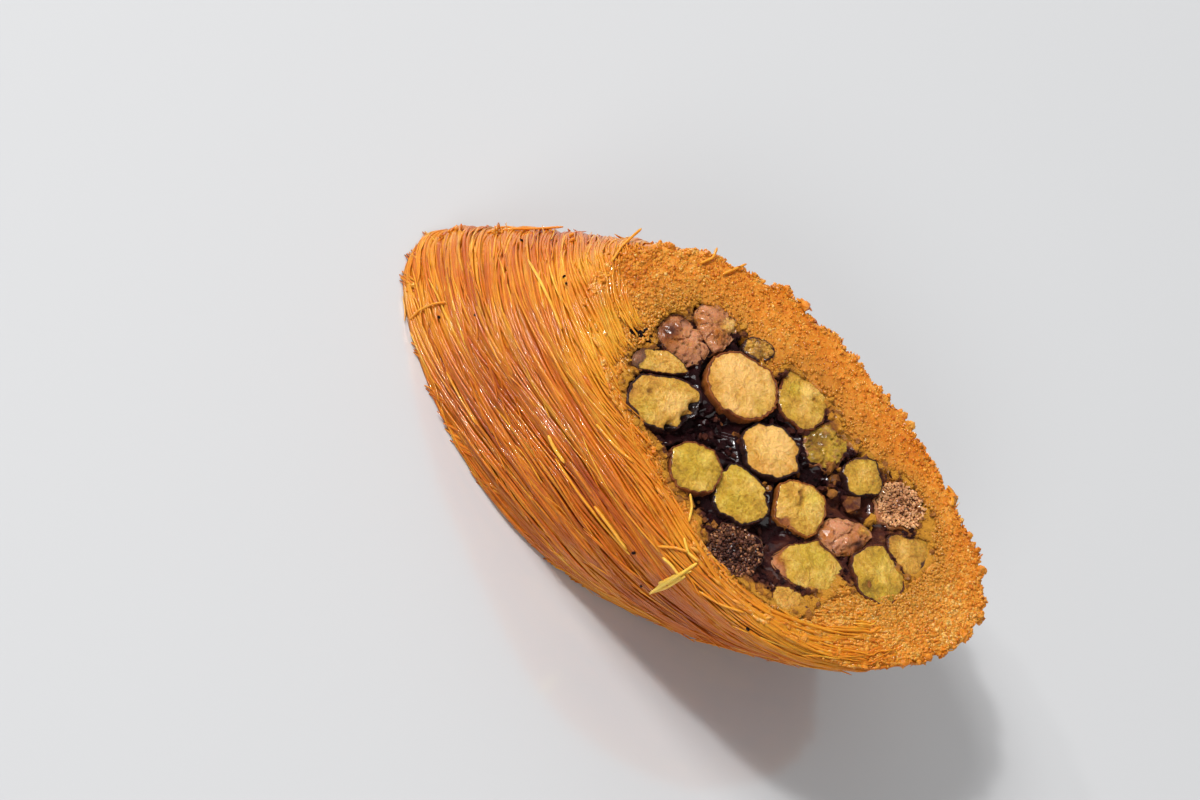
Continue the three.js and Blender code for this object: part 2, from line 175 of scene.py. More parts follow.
# %% Nut table
NUT_TABLE = (
    # x, y, widths, look, green, pale, side, outline lobes, spots as pixels from the middle
    (-15.0, -6.0, (10.5, 7.8), "cut", 0.30, 0.60, 0.8, ((3, 0.05, 20), (7, 0.02, 10)),
     ((-14, 9, 3, "dark"), (14, -4, 14, "pale"), (31, -6, 5, "torn"), (25, -18, 6, "torn"),
      (7, -26, 4, "torn"), (-20, -8, 12, "green"))),
    (-9.5, 4.2, (10.3, 9.6), "cut", 0.05, 0.72, 0.2, ((3, 0.02, 60),),
     ((14, -20, 14, "green"), (-6, 8, 16, "pale"))),
    (-18.6, -2.0, (8.6, 3.6), "cut", 0.25, 0.55, 0.7, ((2, 0.08, 150), (5, 0.04, 0)),
     ((-24, 8, 10, "purple"), (-30, 2, 8, "purple"))),
    (-6.6, -9.9, (7.4, 7.1), "cut", 0.85, 0.45, 0.25, ((4, 0.03, 30), (3, 0.03, 100)),
     ((-8, 14, 8, "green"), (-4, 6, 5, "green"), (8, -18, 10, "pale"), (10, 8, 8, "pale"))),
    (-1.1, 0.2, (8.3, 7.8), "cut", 0.10, 0.68, 0.85, ((7, 0.02, 8), (4, 0.04, 40)),
     ((6, 2, 14, "pale"),)),
    (0.0, -7.9, (7.3, 8.2), "cut", 0.80, 0.50, 0.8, ((6, 0.05, 25), (3, 0.05, 80)),
     ((-8, -10, 8, "green"), (8, 10, 8, "pale"))),
    (6.5, -2.7, (7.4, 7.7), "cut", 0.45, 0.65, 0.1, ((4, 0.06, 20), (5, 0.03, 50)),
     ((0, 14, 3, "dark"), (1, 8, 3, "dark"), (-1, 2, 3, "dark"), (12, 8, 10, "green"),
      (-14, -16, 9, "brown"))),
    (-2.0, 9.5, (7.3, 8.4), "cut", 0.40, 0.58, 0.4, ((4, 0.06, 10), (7, 0.03, 0)),
     ((0, -8, 6, "pale"), (-8, 14, 8, "green"), (14, 2, 3, "dark"), (4, 10, 8, "pale"))),
    (9.4, 7.4, (6.0, 5.8), "cut", 0.70, 0.40, 0.8, ((4, 0.11, 50),),
     ((2, 3, 7, "pale"), (0, 21, 6, "purple"), (21, 5, 5, "purple"))),
    (15.9, 8.8, (8.1, 7.0), "hollow", 0.20, 0.20, 0.1, ((5, 0.06, 0), (8, 0.05, 20)), ()),
    (12.8, -7.5, (10.2, 6.8), "cut", 0.70, 0.70, 0.3, ((3, 0.06, 50), (6, 0.03, 0)),
     ((-36, 8, 12, "brown"), (-28, -4, 8, "brown"), (-36, 2, 16, "pink"), (8, 8, 8, "green"))),
    (19.3, -1.4, (7.8, 8.2), "cut", 0.80, 0.55, 0.5, ((4, 0.04, 60), (5, 0.03, 0)),
     ((4, -2, 4, "pale"), (5, -9, 4, "pale"), (4, 5, 4, "pale"), (-12, -12, 7, "dark"))),
    (20.9, 4.5, (6.4, 5.8), "cut", 0.35, 0.42, 0.7, ((3, 0.14, -101), (4, 0.04, 30)),
     ((-6, 4, 7, "pale"), (16, -12, 6, "purple"), (2, 18, 5, "purple"))),
    (4.5, -14.0, (8.3, 7.4), "hollow", 0.10, 0.05, 0.8, ((4, 0.05, 0), (9, 0.05, 20)), ()),
    (13.0, -0.9, (7.9, 5.2), "whole", 0.30, 0.25, 0.05, ((3, 0.04, 0),),
     ((14, -8, 5, "purple"), (-6, 4, 14, "pink"), (22, 6, 8, "tan"))),
    (-18.3, 3.4, (7.6, 7.4), "whole", 0.10, 0.30, 0.1, ((3, 0.05, 0), (5, 0.04, 20)),
     ((-16, 8, 7, "purple"), (-2, 16, 5, "purple"), (10, -8, 14, "pink"))),
    (-17.0, 8.0, (6.0, 7.2), "whole", 0.10, 0.40, 0.0, ((3, 0.05, 0), (2, 0.06, 40)),
     ((-10, 2, 10, "pink"), (2, 0, 3, "dark"), (14, 0, 13, "tan"))),
    (-11.2, 10.0, (4.4, 3.6), "torn", 0.20, 0.20, 0.9, ((3, 0.06, 0),), ()),
    (4.0, 7.4, (6.7, 7.3), "torn", 0.90, 0.35, 0.3, ((5, 0.08, 0), (9, 0.05, 20)),
     ((-6, 6, 8, "dark"),)),
    (13.3, -13.4, (5.2, 3.2), "cut", 0.20, 0.60, 0.4, ((3, 0.10, 0), (6, 0.05, 10)), ()),
)
NUT_KEYS = ("x", "y", "widths", "look", "green", "pale", "side", "lobes", "spots")
NUT_GAP = 0.42
NUT_SIZE = 0.98
NUT_TURN = math.radians(50)
NUT_SWELL = 0.2  # the share of an overlap that two pressed nuts keep
CHIP_DEPTH = 0.08  # of the width
NUT_COLUMNS = 88
NUT_ANGLES = 2 * math.pi * np.arange(NUT_COLUMNS) / NUT_COLUMNS
FAR_AWAY = 99.0
LOWER_NUT_SIZE = 1.05
LOWER_NUT_WIDTH_MIN = 6.6  # smaller nuts don't reach the lower cut


def nut_reach(nut, angle):
    """The radius of a nut by itself."""
    turned = angle - NUT_TURN
    first, second = nut["widths"]
    oval = 0.5 * NUT_SIZE / np.hypot(np.cos(turned) / first, np.sin(turned) / second)
    return oval * lobed(turned, nut["lobes"])


def pressed_reach(nut, others, angle):
    """The outline of a nut, pressed flat where a neighbour meets it."""
    reach = nut_reach(nut, angle)
    for other in others:
        if other is nut:
            continue
        apart = math.hypot(other["x"] - nut["x"], other["y"] - nut["y"])
        direction = math.atan2(other["y"] - nut["y"], other["x"] - nut["x"])
        towards = np.cos(angle - direction)
        mine = nut_reach(nut, np.array(direction))
        theirs = nut_reach(other, np.array(direction + math.pi))
        meeting = apart * mine / (mine + theirs) - NUT_GAP / 2
        limit = np.where(towards > 0.05, meeting / np.maximum(towards, 0.05), FAR_AWAY)
        reach = np.where(limit < reach, mix(limit, reach, NUT_SWELL), reach)
    return reach


def nut_outline(nut, nuts):
    """The outline with its small chips, at NUT_COLUMNS angles."""
    chips = []
    for angle in NUT_ANGLES:
        place = Vector((3 * math.cos(angle) + nut["x"], 3 * math.sin(angle), 3))
        chips.append(noise.fractal(place, 0.6, 2.3, 6))
    return pressed_reach(nut, nuts, NUT_ANGLES) * (1 + CHIP_DEPTH * np.array(chips))


def read_nuts():
    upper, lower = [], []
    for row in NUT_TABLE:
        nut = dict(zip(NUT_KEYS, row), up=1)
        upper.append(nut)
        if min(nut["widths"]) > LOWER_NUT_WIDTH_MIN:
            wide = tuple(width * LOWER_NUT_SIZE for width in nut["widths"])
            lower.append({**nut, "x": -nut["x"], "y": -nut["y"], "widths": wide, "up": -1})
    for nuts, place in ((upper, "upper"), (lower, "lower")):
        for index, nut in enumerate(nuts):
            nut["outline"] = nut_outline(nut, nuts)
            nut["node"] = f"pistachio_{place}_{index + 1:02d}"
            low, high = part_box(nut["node"])
            nut["face"] = (high[2] if nut["up"] > 0 else low[2]) / MM
            nut["depth"] = (high[2] - low[2]) / MM
    return upper, lower


upper_nuts, lower_nuts = read_nuts()
print(len(upper_nuts), "nuts above and", len(lower_nuts), "below")

# %% [markdown]
# ## Where the pastry begins
# The strands are packed against the nuts, so on a cut the pastry reaches in to the outermost nuts.
# Its inner edge is kept as a share of the filling's size, for each degree round it.

# %% Inner edge of the pastry
CRUST_MARGIN = 0.15
BURIED_WIDTH = 5.0  # smaller nuts are partly under the pastry
DEEPEST_CRUST = 0.7
# degrees either side: gaps between two nuts are bridged, drawn back in, and rounded
BRIDGED, DRAWN_IN, ROUNDED = 8, 5, 2


def with_neighbours(values, degrees, combine):
    """Combines each value with those up to some degrees to either side."""
    return combine([np.roll(values, shift) for shift in range(-degrees, degrees + 1)], axis=0)


def crust_shares(nuts, up):
    """How far in the pastry reaches at each degree, as a share of the filling's size."""
    reached = np.zeros(360)
    centre_x, centre_y = filling_centre(cut_height(up))
    for nut in nuts:
        if max(nut["widths"]) < BURIED_WIDTH:
            continue
        reach = nut["outline"] + CRUST_MARGIN
        across = (nut["x"] + reach * np.cos(NUT_ANGLES) - centre_x) / FILLING_HALF_LENGTH
        along = (nut["y"] + reach * np.sin(NUT_ANGLES) - centre_y) / FILLING_HALF_WIDTH
        angle = np.arctan2(along, across)
        size = lobed(angle if up > 0 else angle + math.pi, FILLING_LOBES, FILLING_SIZE)
        degree = np.degrees(angle).astype(int) % 360
        np.maximum.at(reached, degree, np.hypot(across, along) / size)
    widened = with_neighbours(reached, BRIDGED, np.max)
    narrowed = with_neighbours(widened, DRAWN_IN, np.min)
    smoothed = with_neighbours(narrowed, ROUNDED, np.mean)
    return np.clip(smoothed, DEEPEST_CRUST, 1.0)


CRUST = {1: crust_shares(upper_nuts, 1), -1: crust_shares(lower_nuts, -1)}


def crust_share(angle, up):
    return np.interp(np.degrees(angle), np.arange(360), CRUST[up], period=360)


def crust_xy(angle, up=1):
    return filling_xy(angle, cut_height(up), 0.0, crust_share(angle, up))


lowest, highest = (round(float(limit), 2) for limit in (CRUST[1].min(), CRUST[1].max()))
print("the pastry begins at", lowest, "to", highest, "of the filling's size")

# %% [markdown]
# ## One surface over wall, edge and cut
# The near edge of the slice is rounded and strands run over it onto the cut, so the outside is
# described by one running distance: up the wall, round the edge, then inwards over the cut.

# %% The running surface
EDGE_NEAR = 3.0  # radius of the rounded edge where strands run along it
EDGE_FAR = 0.6
RIDGE_SHARE = 0.4  # loose strands fill the grooves of the solid wall in part
# the crumbly far rim is uneven: waves round it, their height in mm and their direction
RIM_WAVES = ((19, 0.26, 30), (31, 0.26, 200), (47, 0.22, 80), (71, 0.18, 300))
RIM_HEIGHT = 2.5  # the waves fade out this far below the cut


def edge_radius(angle):
    return mix(EDGE_FAR, EDGE_NEAR, nearness(angle))


def edge_run(angle):
    """The running distance at which the edge turns level."""
    radius = edge_radius(angle)
    return THICKNESS - radius + radius * math.pi / 2


def rim_unevenness(angle, z):
    height = 0.0
    for waves, rise, direction in RIM_WAVES:
        height = height + rise * np.cos(waves * angle + math.radians(direction))
    return height * (1 - nearness(angle)) * smooth_step(THICKNESS - RIM_HEIGHT, THICKNESS, z)


def surface_point(angle, run, out=0.0):
    """A point and its outward normal, `run` mm along the profile and `out` mm proud of it."""
    radius = edge_radius(angle)
    straight = THICKNESS - radius
    turn = np.clip((run - straight) / radius, 0, math.pi / 2)
    inwards = np.maximum(run - straight - radius * math.pi / 2, 0)
    z = np.minimum(run, straight) + (radius + out) * np.sin(turn)
    push = -radius * (1 - np.cos(turn)) + out * np.cos(turn) - inwards + rim_unevenness(angle, z)
    x, y = wall_xy(angle, z, push, RIDGE_SHARE * np.cos(turn))
    across = np.cos(angle) / HALF_LENGTH + 0 * turn
    along = np.sin(angle) / HALF_WIDTH + 0 * turn
    normal = np.stack([across, along, -across * LEAN / THICKNESS], axis=-1)  # the wall leans
    normal /= np.linalg.norm(normal, axis=-1, keepdims=True)
    normal = normal * np.cos(turn)[..., None] + np.array([0, 0, 1.0]) * np.sin(turn)[..., None]
    return to_slice(x, y, z), normal


def shell_width(angle):
    """How wide the pastry is on the cut, from its edge to the filling."""
    outer_x, outer_y = wall_xy(angle, THICKNESS, 0.0, 0.0)
    inner_x, inner_y = crust_xy(angle)
    return np.hypot(outer_x - inner_x, outer_y - inner_y)


# %% [markdown]
# ## Camera
# The slice lies flat with its cut up. The camera looks down on it and is rolled, so that the
# cut's long axis runs to the lower right.

# %% Camera
FRAME_WIDTH = 1200
FRAME_HEIGHT = 800
PIXELS_PER_MM = 8.0
LENS = 100.0
SENSOR = 36.0
CUT_MIDDLE_PIXEL = (775, 457)
LOOK_DOWN = math.radians(55)
ROLL = math.radians(45)

camera_back = np.array([0, -math.cos(LOOK_DOWN), math.sin(LOOK_DOWN)])
level_right = np.array([1.0, 0, 0])
level_up = np.array([0, math.sin(LOOK_DOWN), math.cos(LOOK_DOWN)])
camera_right = math.cos(ROLL) * level_right + math.sin(ROLL) * level_up
camera_up = -math.sin(ROLL) * level_right + math.cos(ROLL) * level_up
camera_distance = LENS * FRAME_WIDTH / SENSOR / PIXELS_PER_MM
cut_middle = np.array([LEAN / 2 - BOX_CENTRE_X, 0, THICKNESS])
offset_right = (CUT_MIDDLE_PIXEL[0] - FRAME_WIDTH / 2) / PIXELS_PER_MM
offset_up = (FRAME_HEIGHT / 2 - CUT_MIDDLE_PIXEL[1]) / PIXELS_PER_MM
camera_place = (
    cut_middle - camera_right * offset_right - camera_up * offset_up + camera_back * camera_distance
)

camera_data = bpy.data.cameras.new("camera")
camera_data.lens = LENS
camera_data.sensor_width = SENSOR
camera = bpy.data.objects.new("camera", camera_data)
bpy.context.scene.collection.objects.link(camera)
turn = Matrix((camera_right, camera_up, camera_back)).transposed()
camera.matrix_world = Matrix.Translation(Vector(camera_place * MM)) @ turn.to_4x4()
bpy.context.scene.camera = camera


def to_pixels(points):
    seen = points - camera_place
    depth = -seen @ camera_back
    scale = LENS * FRAME_WIDTH / SENSOR / depth
    return np.stack([
        FRAME_WIDTH / 2 + seen @ camera_right * scale,
        FRAME_HEIGHT / 2 - seen @ camera_up * scale,
    ], axis=-1)


def on_plane(pixel, z):
    """Where the line of sight through a pixel meets the height z."""
    right = (pixel[0] - FRAME_WIDTH / 2) * SENSOR / FRAME_WIDTH / LENS
    up = (FRAME_HEIGHT / 2 - pixel[1]) * SENSOR / FRAME_WIDTH / LENS
    ray = camera_right * right + camera_up * up - camera_back
    return camera_place + ray * (z - camera_place[2]) / ray[2]


# %% [markdown]
# Single chips and loose strands are placed by where they show. The nearest visible point of the
# outside is looked up for each.

# %% Places on the outside
grid_angle, grid_share = np.meshgrid(np.radians(np.arange(0, 360, 0.5)), np.linspace(0, 1, 90))
HIDDEN = 1e6  # no pixel is near this one
grid_run = grid_share * (edge_run(grid_angle) + shell_width(grid_angle) - edge_radius(grid_angle))
grid_points, grid_normals = surface_point(grid_angle, grid_run)
grid_seen = grid_normals @ camera_back > 0.05
grid_pixels = np.where(grid_seen[..., None], to_pixels(grid_points), HIDDEN)


def place_seen(pixel):
    """The outside point nearest a pixel, moved sideways onto it, and the normal there."""
    apart = np.hypot(grid_pixels[..., 0] - pixel[0], grid_pixels[..., 1] - pixel[1])
    nearest = np.unravel_index(np.argmin(apart), apart.shape)
    rest = np.array(pixel) - grid_pixels[nearest]
    point = grid_points[nearest] + (camera_right * rest[0] - camera_up * rest[1]) / PIXELS_PER_MM
    return point, grid_normals[nearest]


# %% [markdown]
# ## Materials
# Baked strands are translucent amber with a coat of syrup. Their tone differs from strand to
# strand, so it is an attribute on the mesh, and a colour ramp turns it into colour.

# %% Material helpers
def new_material(name):
    material = bpy.data.materials.new(name)
    material.use_nodes = True
    nodes = material.node_tree.nodes
    shader = nodes["Principled BSDF"]
    return material, nodes, material.node_tree.links, shader


def ramp_node(nodes, stops):
    ramp = nodes.new("ShaderNodeValToRGB")
    elements = ramp.color_ramp.elements
    while len(elements) > 1:
        elements.remove(elements[-1])
    elements[0].position, elements[0].color = stops[0][0], (*stops[0][1], 1)
    for place, colour in stops[1:]:
        elements.new(place).color = (*colour, 1)
    return ramp


def noise_node(nodes, links, scale, detail, roughness=0.6):
    """Noise with `scale` waves to the metre."""
    place = nodes.new("ShaderNodeTexCoord")
    pattern = nodes.new("ShaderNodeTexNoise")
    pattern.inputs["Scale"].default_value = scale
    pattern.inputs["Detail"].default_value = detail
    pattern.inputs["Roughness"].default_value = roughness
    links.new(place.outputs["Object"], pattern.inputs["Vector"])
    return pattern.outputs["Fac"]


def attribute_node(nodes, name):
    node = nodes.new("ShaderNodeAttribute")
    node.attribute_name = name
    return node.outputs["Fac"]


def math_node(nodes, links, operation, *values):
    node = nodes.new("ShaderNodeMath")
    node.operation = operation
    for socket, value in zip(node.inputs, values):
        if isinstance(value, (int, float)):
            socket.default_value = value
        else:
            links.new(value, socket)
    return node.outputs[0]


def around_zero(nodes, links, value, width):
    """A 0..1 pattern made to swing evenly round zero."""
    return math_node(nodes, links, "MULTIPLY_ADD", value, width, -width / 2)


def mix_colour(nodes, links, share, first, second):
    node = nodes.new("ShaderNodeMix")
    node.data_type = "RGBA"
    sockets = (node.inputs[0], node.inputs[6], node.inputs[7])  # share, first and second colour
    for socket, value in zip(sockets, (share, first, second)):
        if isinstance(value, tuple):
            socket.default_value = (*value, 1)
        elif isinstance(value, (int, float)):
            socket.default_value = value
        else:
            links.new(value, socket)
    return node.outputs[2]


def add_bump(nodes, links, shader, height, strength, depth):
    bump = nodes.new("ShaderNodeBump")
    bump.inputs["Strength"].default_value = strength
    bump.inputs["Distance"].default_value = depth * MM
    links.new(height, bump.inputs["Height"])
    links.new(bump.outputs["Normal"], shader.inputs["Normal"])


def set_surface(shader, roughness, coat, coat_roughness, glow=0.0, glow_radius=1.0, shine=0.2):
    """Gloss from a coat of syrup, and light that goes `glow_radius` mm into the food."""
    settings = {
        "Roughness": roughness, "IOR": 1.45, "Specular IOR Level": shine,
        "Coat Weight": coat, "Coat Roughness": coat_roughness,
        "Subsurface Weight": glow, "Subsurface Radius": (1.0, 0.4, 0.1),
        "Subsurface Scale": glow_radius * MM,
    }
    for socket, value in settings.items():
        shader.inputs[socket].default_value = value


# %% Baked strands
STRAND_TONES = (
    (0.0, (0.220, 0.028, 0.001)), (0.25, (0.360, 0.066, 0.001)), (0.5, (0.510, 0.128, 0.003)),
    (0.75, (0.650, 0.248, 0.012)), (1.0, (0.760, 0.440, 0.060)),
)
CRUMB_TONES = (
    (0.0, (0.270, 0.050, 0.001)), (0.25, (0.430, 0.105, 0.003)), (0.5, (0.570, 0.177, 0.009)),
    (0.75, (0.670, 0.282, 0.038)), (1.0, (0.740, 0.440, 0.150)),
)
STAIN = (0.460, 0.185, 0.018)  # pastry that has soaked up oil from the nuts
STAIN_STRENGTH = 0.75
PATCH_SCALE = 120.0  # patches about 8 mm wide, and how much the tone changes between them
PATCH_CHANGE = 0.6
GRAIN_SCALE = 1300.0


def strand_material(name, tones, grains, coat, glow, bump):
    """Grains: how much the tone varies over half a millimetre. Coat: its weight and roughness.

    Glow: the weight and depth of the light inside. Bump: its width and depth. Lengths are in mm.
    """
    material, nodes, links, shader = new_material(name)
    patch = around_zero(nodes, links, noise_node(nodes, links, PATCH_SCALE, 4.0), PATCH_CHANGE)
    grain = around_zero(nodes, links, noise_node(nodes, links, GRAIN_SCALE, 3.0), grains)
    tone = math_node(nodes, links, "ADD", attribute_node(nodes, "tone"), patch)
    tone = math_node(nodes, links, "ADD", tone, grain)
    ramp = ramp_node(nodes, tones)
    links.new(tone, ramp.inputs["Fac"])
    stain = math_node(nodes, links, "MULTIPLY", attribute_node(nodes, "stain"), STAIN_STRENGTH)
    colour = mix_colour(nodes, links, stain, ramp.outputs["Color"], STAIN)
    links.new(colour, shader.inputs["Base Color"])
    bumps = noise_node(nodes, links, 1 / (bump[0] * MM), 3.0)
    add_bump(nodes, links, shader, bumps, 0.6, bump[1])
    set_surface(shader, 0.5, *coat, *glow)
    return material


syrup_strand = strand_material(
    "syrup_strand", STRAND_TONES, 0.25, coat=(0.4, 0.05), glow=(0.35, 0.6), bump=(0.7, 0.12)
)
crumb_strand = strand_material(
    "crumb_strand", CRUMB_TONES, 0.8, coat=(0.3, 0.1), glow=(0.35, 0.5), bump=(0.5, 0.1)
)
packed_strand = strand_material(
    "packed_strand", CRUMB_TONES, 1.0, coat=(0.3, 0.1), glow=(0.4, 0.6), bump=(0.4, 0.3)
)

# %% [markdown]
# ## From rings to a form
# The large forms of the slice are all closed and round, so each starts as a primitive with enough
# rings: a hoop for the pastry, a ball for the filling, a turned blank for a nut. Their rings are
# then moved one by one to where they lie on the real thing, as clay is pushed on a wheel.

# %% Ring helpers
def mesh_points(piece):
    places = np.empty(3 * len(piece.data.vertices), dtype=np.float32)
    piece.data.vertices.foreach_get("co", places)
    return places.reshape(-1, 3).astype(float)


def spoke_of(points, columns):
    """Which spoke each point lies on, counted round from +X."""
    turn = np.arctan2(points[:, 1], points[:, 0]) / (2 * math.pi)
    return np.round(turn * columns).astype(int) % columns


def with_poles(rings):
    """Rings, or the values on them, with their mean as a point at each end."""
    ends = [np.broadcast_to(ring.mean(axis=0), ring.shape) for ring in (rings[0], rings[-1])]
    return np.stack([ends[0], *rings, ends[1]])


def move_rings(piece, ring, spoke, places):
    """Moves each point of a piece to its place, in mm, in an array of rings."""
    piece.data.vertices.foreach_set("co", (places[ring, spoke] * MM).astype(np.float32).ravel())
    piece.data.update()


def dress(piece, material, slot, smooth=True, **attributes):
    """Gives a piece its material, its body and the values that the material reads."""
    mesh = piece.data
    for key, values in attributes.items():
        layer = mesh.attributes.new(key, "FLOAT", "POINT")
        layer.data.foreach_set("value", np.asarray(values, dtype=np.float32))
    mesh.polygons.foreach_set("use_smooth", np.full(len(mesh.polygons), smooth))
    mesh.materials.append(material)
    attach(piece, "root")


# %% [markdown]
# ## Many small shapes in one piece
# Thousands of strands and crumbs can't be modelled one by one, so they are joined meshes made from
# arrays: a tube for each path, all in one object, with a tone for each.

# %% Joined pieces
def joined_piece(name, points, triangles, material, slot, smooth, **attributes):
    """A piece from an array of points, in mm, and one of triangles."""
    mesh = bpy.data.meshes.new(name)
    triangles = np.asarray(triangles, dtype=np.int32)
    mesh.vertices.add(len(points))
    mesh.vertices.foreach_set("co", (np.asarray(points) * MM).astype(np.float32).ravel())
    mesh.loops.add(triangles.size)
    mesh.loops.foreach_set("vertex_index", triangles.ravel())
    mesh.polygons.add(len(triangles))
    mesh.polygons.foreach_set("loop_start", np.arange(0, triangles.size, 3, dtype=np.int32))
    mesh.update(calc_edges=True)
    mesh.validate()
    piece = bpy.data.objects.new(name, mesh)
    bpy.context.scene.collection.objects.link(piece)
    dress(piece, material, slot, smooth, **attributes)
    return piece


ABOVE_FLOOR = 0.02


class Batch:
    """Collects small shapes and makes one piece of them."""

    def __init__(self):
        self.points, self.faces, self.tones, self.stains = [], [], [], []
        self.count = 0

    def add(self, points, faces, tone, stain=0.0):
        points[:, 2] = np.maximum(points[:, 2], ABOVE_FLOOR)
        self.points.append(points)
        self.faces.append(faces + self.count)
        self.tones.append(np.broadcast_to(tone, len(points)))
        self.stains.append(np.full(len(points), stain))
        self.count += len(points)

    def piece(self, name, material, slot, smooth=True):
        points = np.concatenate(self.points)
        faces = np.concatenate(self.faces)
        tones, stains = np.concatenate(self.tones), np.concatenate(self.stains)
        made = joined_piece(name, points, faces, material, slot, smooth, tone=tones, stain=stains)
        print(name, "has", len(faces), "faces")
        return made


def tube_quads(rings, sides):
    """The faces between the rings of a tube, facing outwards."""
    ring = np.arange(rings - 1)[:, None] * sides
    order = np.arange(sides)[None, :]
    beside = (order + 1) % sides
    corners = (ring + order, ring + sides + order, ring + sides + beside, ring + beside)
    return np.stack(corners, axis=-1).reshape(-1, 4)


TIP_SIZE = 0.55  # of the strand's thickness


def tube(path, normals, radius, sides, tone, batch, flat=1.0, stain=0.0):
    """A closed tube along a path, drawn in to a blunt tip at both ends."""
    count = len(path)
    along = np.gradient(path, axis=0)
    along /= np.maximum(np.linalg.norm(along, axis=1, keepdims=True), 1e-9)
    side = np.cross(along, normals)
    side /= np.maximum(np.linalg.norm(side, axis=1, keepdims=True), 1e-9)
    up = np.cross(side, along)
    radius = np.broadcast_to(radius, count).copy()
    radius[[0, -1]] *= TIP_SIZE
    turns = 2 * math.pi * np.arange(sides) / sides
    ring = np.cos(turns)[None, :, None] * side[:, None, :]
    ring = ring + flat * np.sin(turns)[None, :, None] * up[:, None, :]
    points = (path[:, None, :] + ring * radius[:, None, None]).reshape(-1, 3)
    tips = np.array([path[0] - along[0] * radius[0] * 0.5, path[-1] + along[-1] * radius[-1] * 0.5])
    quads = tube_quads(count, sides)
    order = np.arange(sides)
    following = (order + 1) % sides
    last = (count - 1) * sides
    start_fan = np.stack([order, following, np.full(sides, len(points))], axis=-1)
    end_fan = np.stack([following + last, order + last, np.full(sides, len(points) + 1)], axis=-1)
    triangles = np.concatenate([quads[:, [0, 1, 2]], quads[:, [0, 2, 3]], start_fan, end_fan])
    tones = np.broadcast_to(tone, count)
    tones = np.concatenate([np.repeat(tones, sides), tones[[0, -1]]])
    batch.add(np.concatenate([points, tips]), triangles, tones, stain)


# %% [markdown]
# ## Strands on the wall
# On the real roll the strands were laid side by side and rolled up on a slant, so each one is a
# steep screw. They cling together in locks that cross each other a little. Three layers lie over
# each other. On the near side the strands go on over the edge and end at the filling.

# %% The screw that strands follow
STEP_ANGLE = 0.028
RISE_OF_A_TURN = ONE_TURN / ALONG_Z  # within one turn's rise each strand starts once
EDGE_RUN_NEAR = THICKNESS - EDGE_NEAR + EDGE_NEAR * math.pi / 2
screw_angle = np.arange(-2 * math.pi - 0.5, 2.3, STEP_ANGLE)
screw_x, screw_y = outline(screw_angle, THICKNESS / 2)
screw_arc = np.concatenate([[0], np.cumsum(np.hypot(np.diff(screw_x), np.diff(screw_y)))])
screw_rise = strand_rise(screw_angle, screw_x)
screw_edge = edge_run(screw_angle)
screw_near = nearness(screw_angle)
over_edge = np.maximum(shell_width(screw_angle) - edge_radius(screw_angle) - 0.3, 0)
print("a strand is followed in", len(screw_angle), "steps of", round(screw_arc[1], 2), "mm")

# %% One strand
# waves along a strand: the shortest and the longest, and their height
LOCK_WAVES = ((45, 110, 0.9), (18, 35, 0.22))
STRAND_WAVE = (8, 20, 0.07)
LIFT_WAVE = (10, 40, 0.06)
TONE_WAVE = (12, 40, 0.06)
KNOT_WAVE = (3, 9, 0.1)

FEWEST_STEPS = 5
TAPER_STEPS = 4
TAPER = 0.35  # of the thickness, towards each end
END_DIP = -0.35  # broken ends may dip this far under their neighbours
FOOT_BEND = 1.2
FOOT_LIFT = 0.25
# near the cut every strand's tone is drawn to one paler tone: partly the strands' own colour,
# partly painted bounce light on the near edge
TONE_AT_CUT_WITH_PAINTED_LIGHT = 0.74
TONE_CHANGE_AT_CUT = 0.7
# painted shade along the middle of the wall, and painted light towards its left end, added to the
# strands' tone
PAINTED_SHADE_MIDDLE = 0.08
MIDDLE_RUN, MIDDLE_WIDTH = 14, 5
PAINTED_LIGHT_AT_END = 0.1


def wave(random, low, high, height):
    length = random.uniform(low, high)
    return height * np.sin(screw_arc / length * 2 * math.pi + random.uniform(0, 2 * math.pi))


def stretches(inside):
    """The first and last step of each unbroken run of True."""
    ends = np.flatnonzero(np.diff(np.concatenate([[False], inside, [False]]).astype(int)))
    return zip(ends[::2], ends[1::2])


def cut_up(random, first, last, shortest, longest):
    """Cuts a strand into lengths, in steps, that overlap or leave gaps a little."""
    while last - first >= FEWEST_STEPS:
        steps = int(random.integers(shortest, longest))
        end = last if last - first - steps <= FEWEST_STEPS else first + steps
        yield first, end
        first = end + int(random.integers(-3, 3))


def end_rises(random, curl, at_foot, at_top):
    """How far the two ends rise: broken ends dip under their neighbours, or curl out."""
    foot = random.uniform(-0.05, 0.2) if at_foot else random.uniform(END_DIP, curl)
    top = random.uniform(-0.1, 0.1) if at_top else random.uniform(END_DIP, curl)
    return foot, top


def bent_at_foot(run):
    """Strands that come down to the foot bend round and run along it."""
    return FOOT_LIFT + FOOT_BEND * np.logaddexp(0, (run - 0.3) / FOOT_BEND)


def strand(random, run, first, last, lift, tone, thick, spread, rises, sides, batch):
    """One length of a strand, from its first step to its last."""
    arc = screw_arc[first:last]
    lean = random.normal(0, spread)
    own_run = bent_at_foot(run[first:last] + lean * (arc - arc.mean()))
    steps = np.arange(last - first)
    start = np.clip(1 - steps / TAPER_STEPS, 0, 1) ** 2
    end = np.clip(1 - steps[::-1] / TAPER_STEPS, 0, 1) ** 2
    lift = lift + rises[0] * start + rises[1] * end
    path, normals = surface_point(screw_angle[first:last], own_run, lift)
    knots = 1 + wave(random, *KNOT_WAVE)[first:last] - TAPER * np.maximum(start, end)
    radius = thick * random.uniform(0.65, 1.3) * knots
    tube(path, normals, radius, sides, tone, batch)


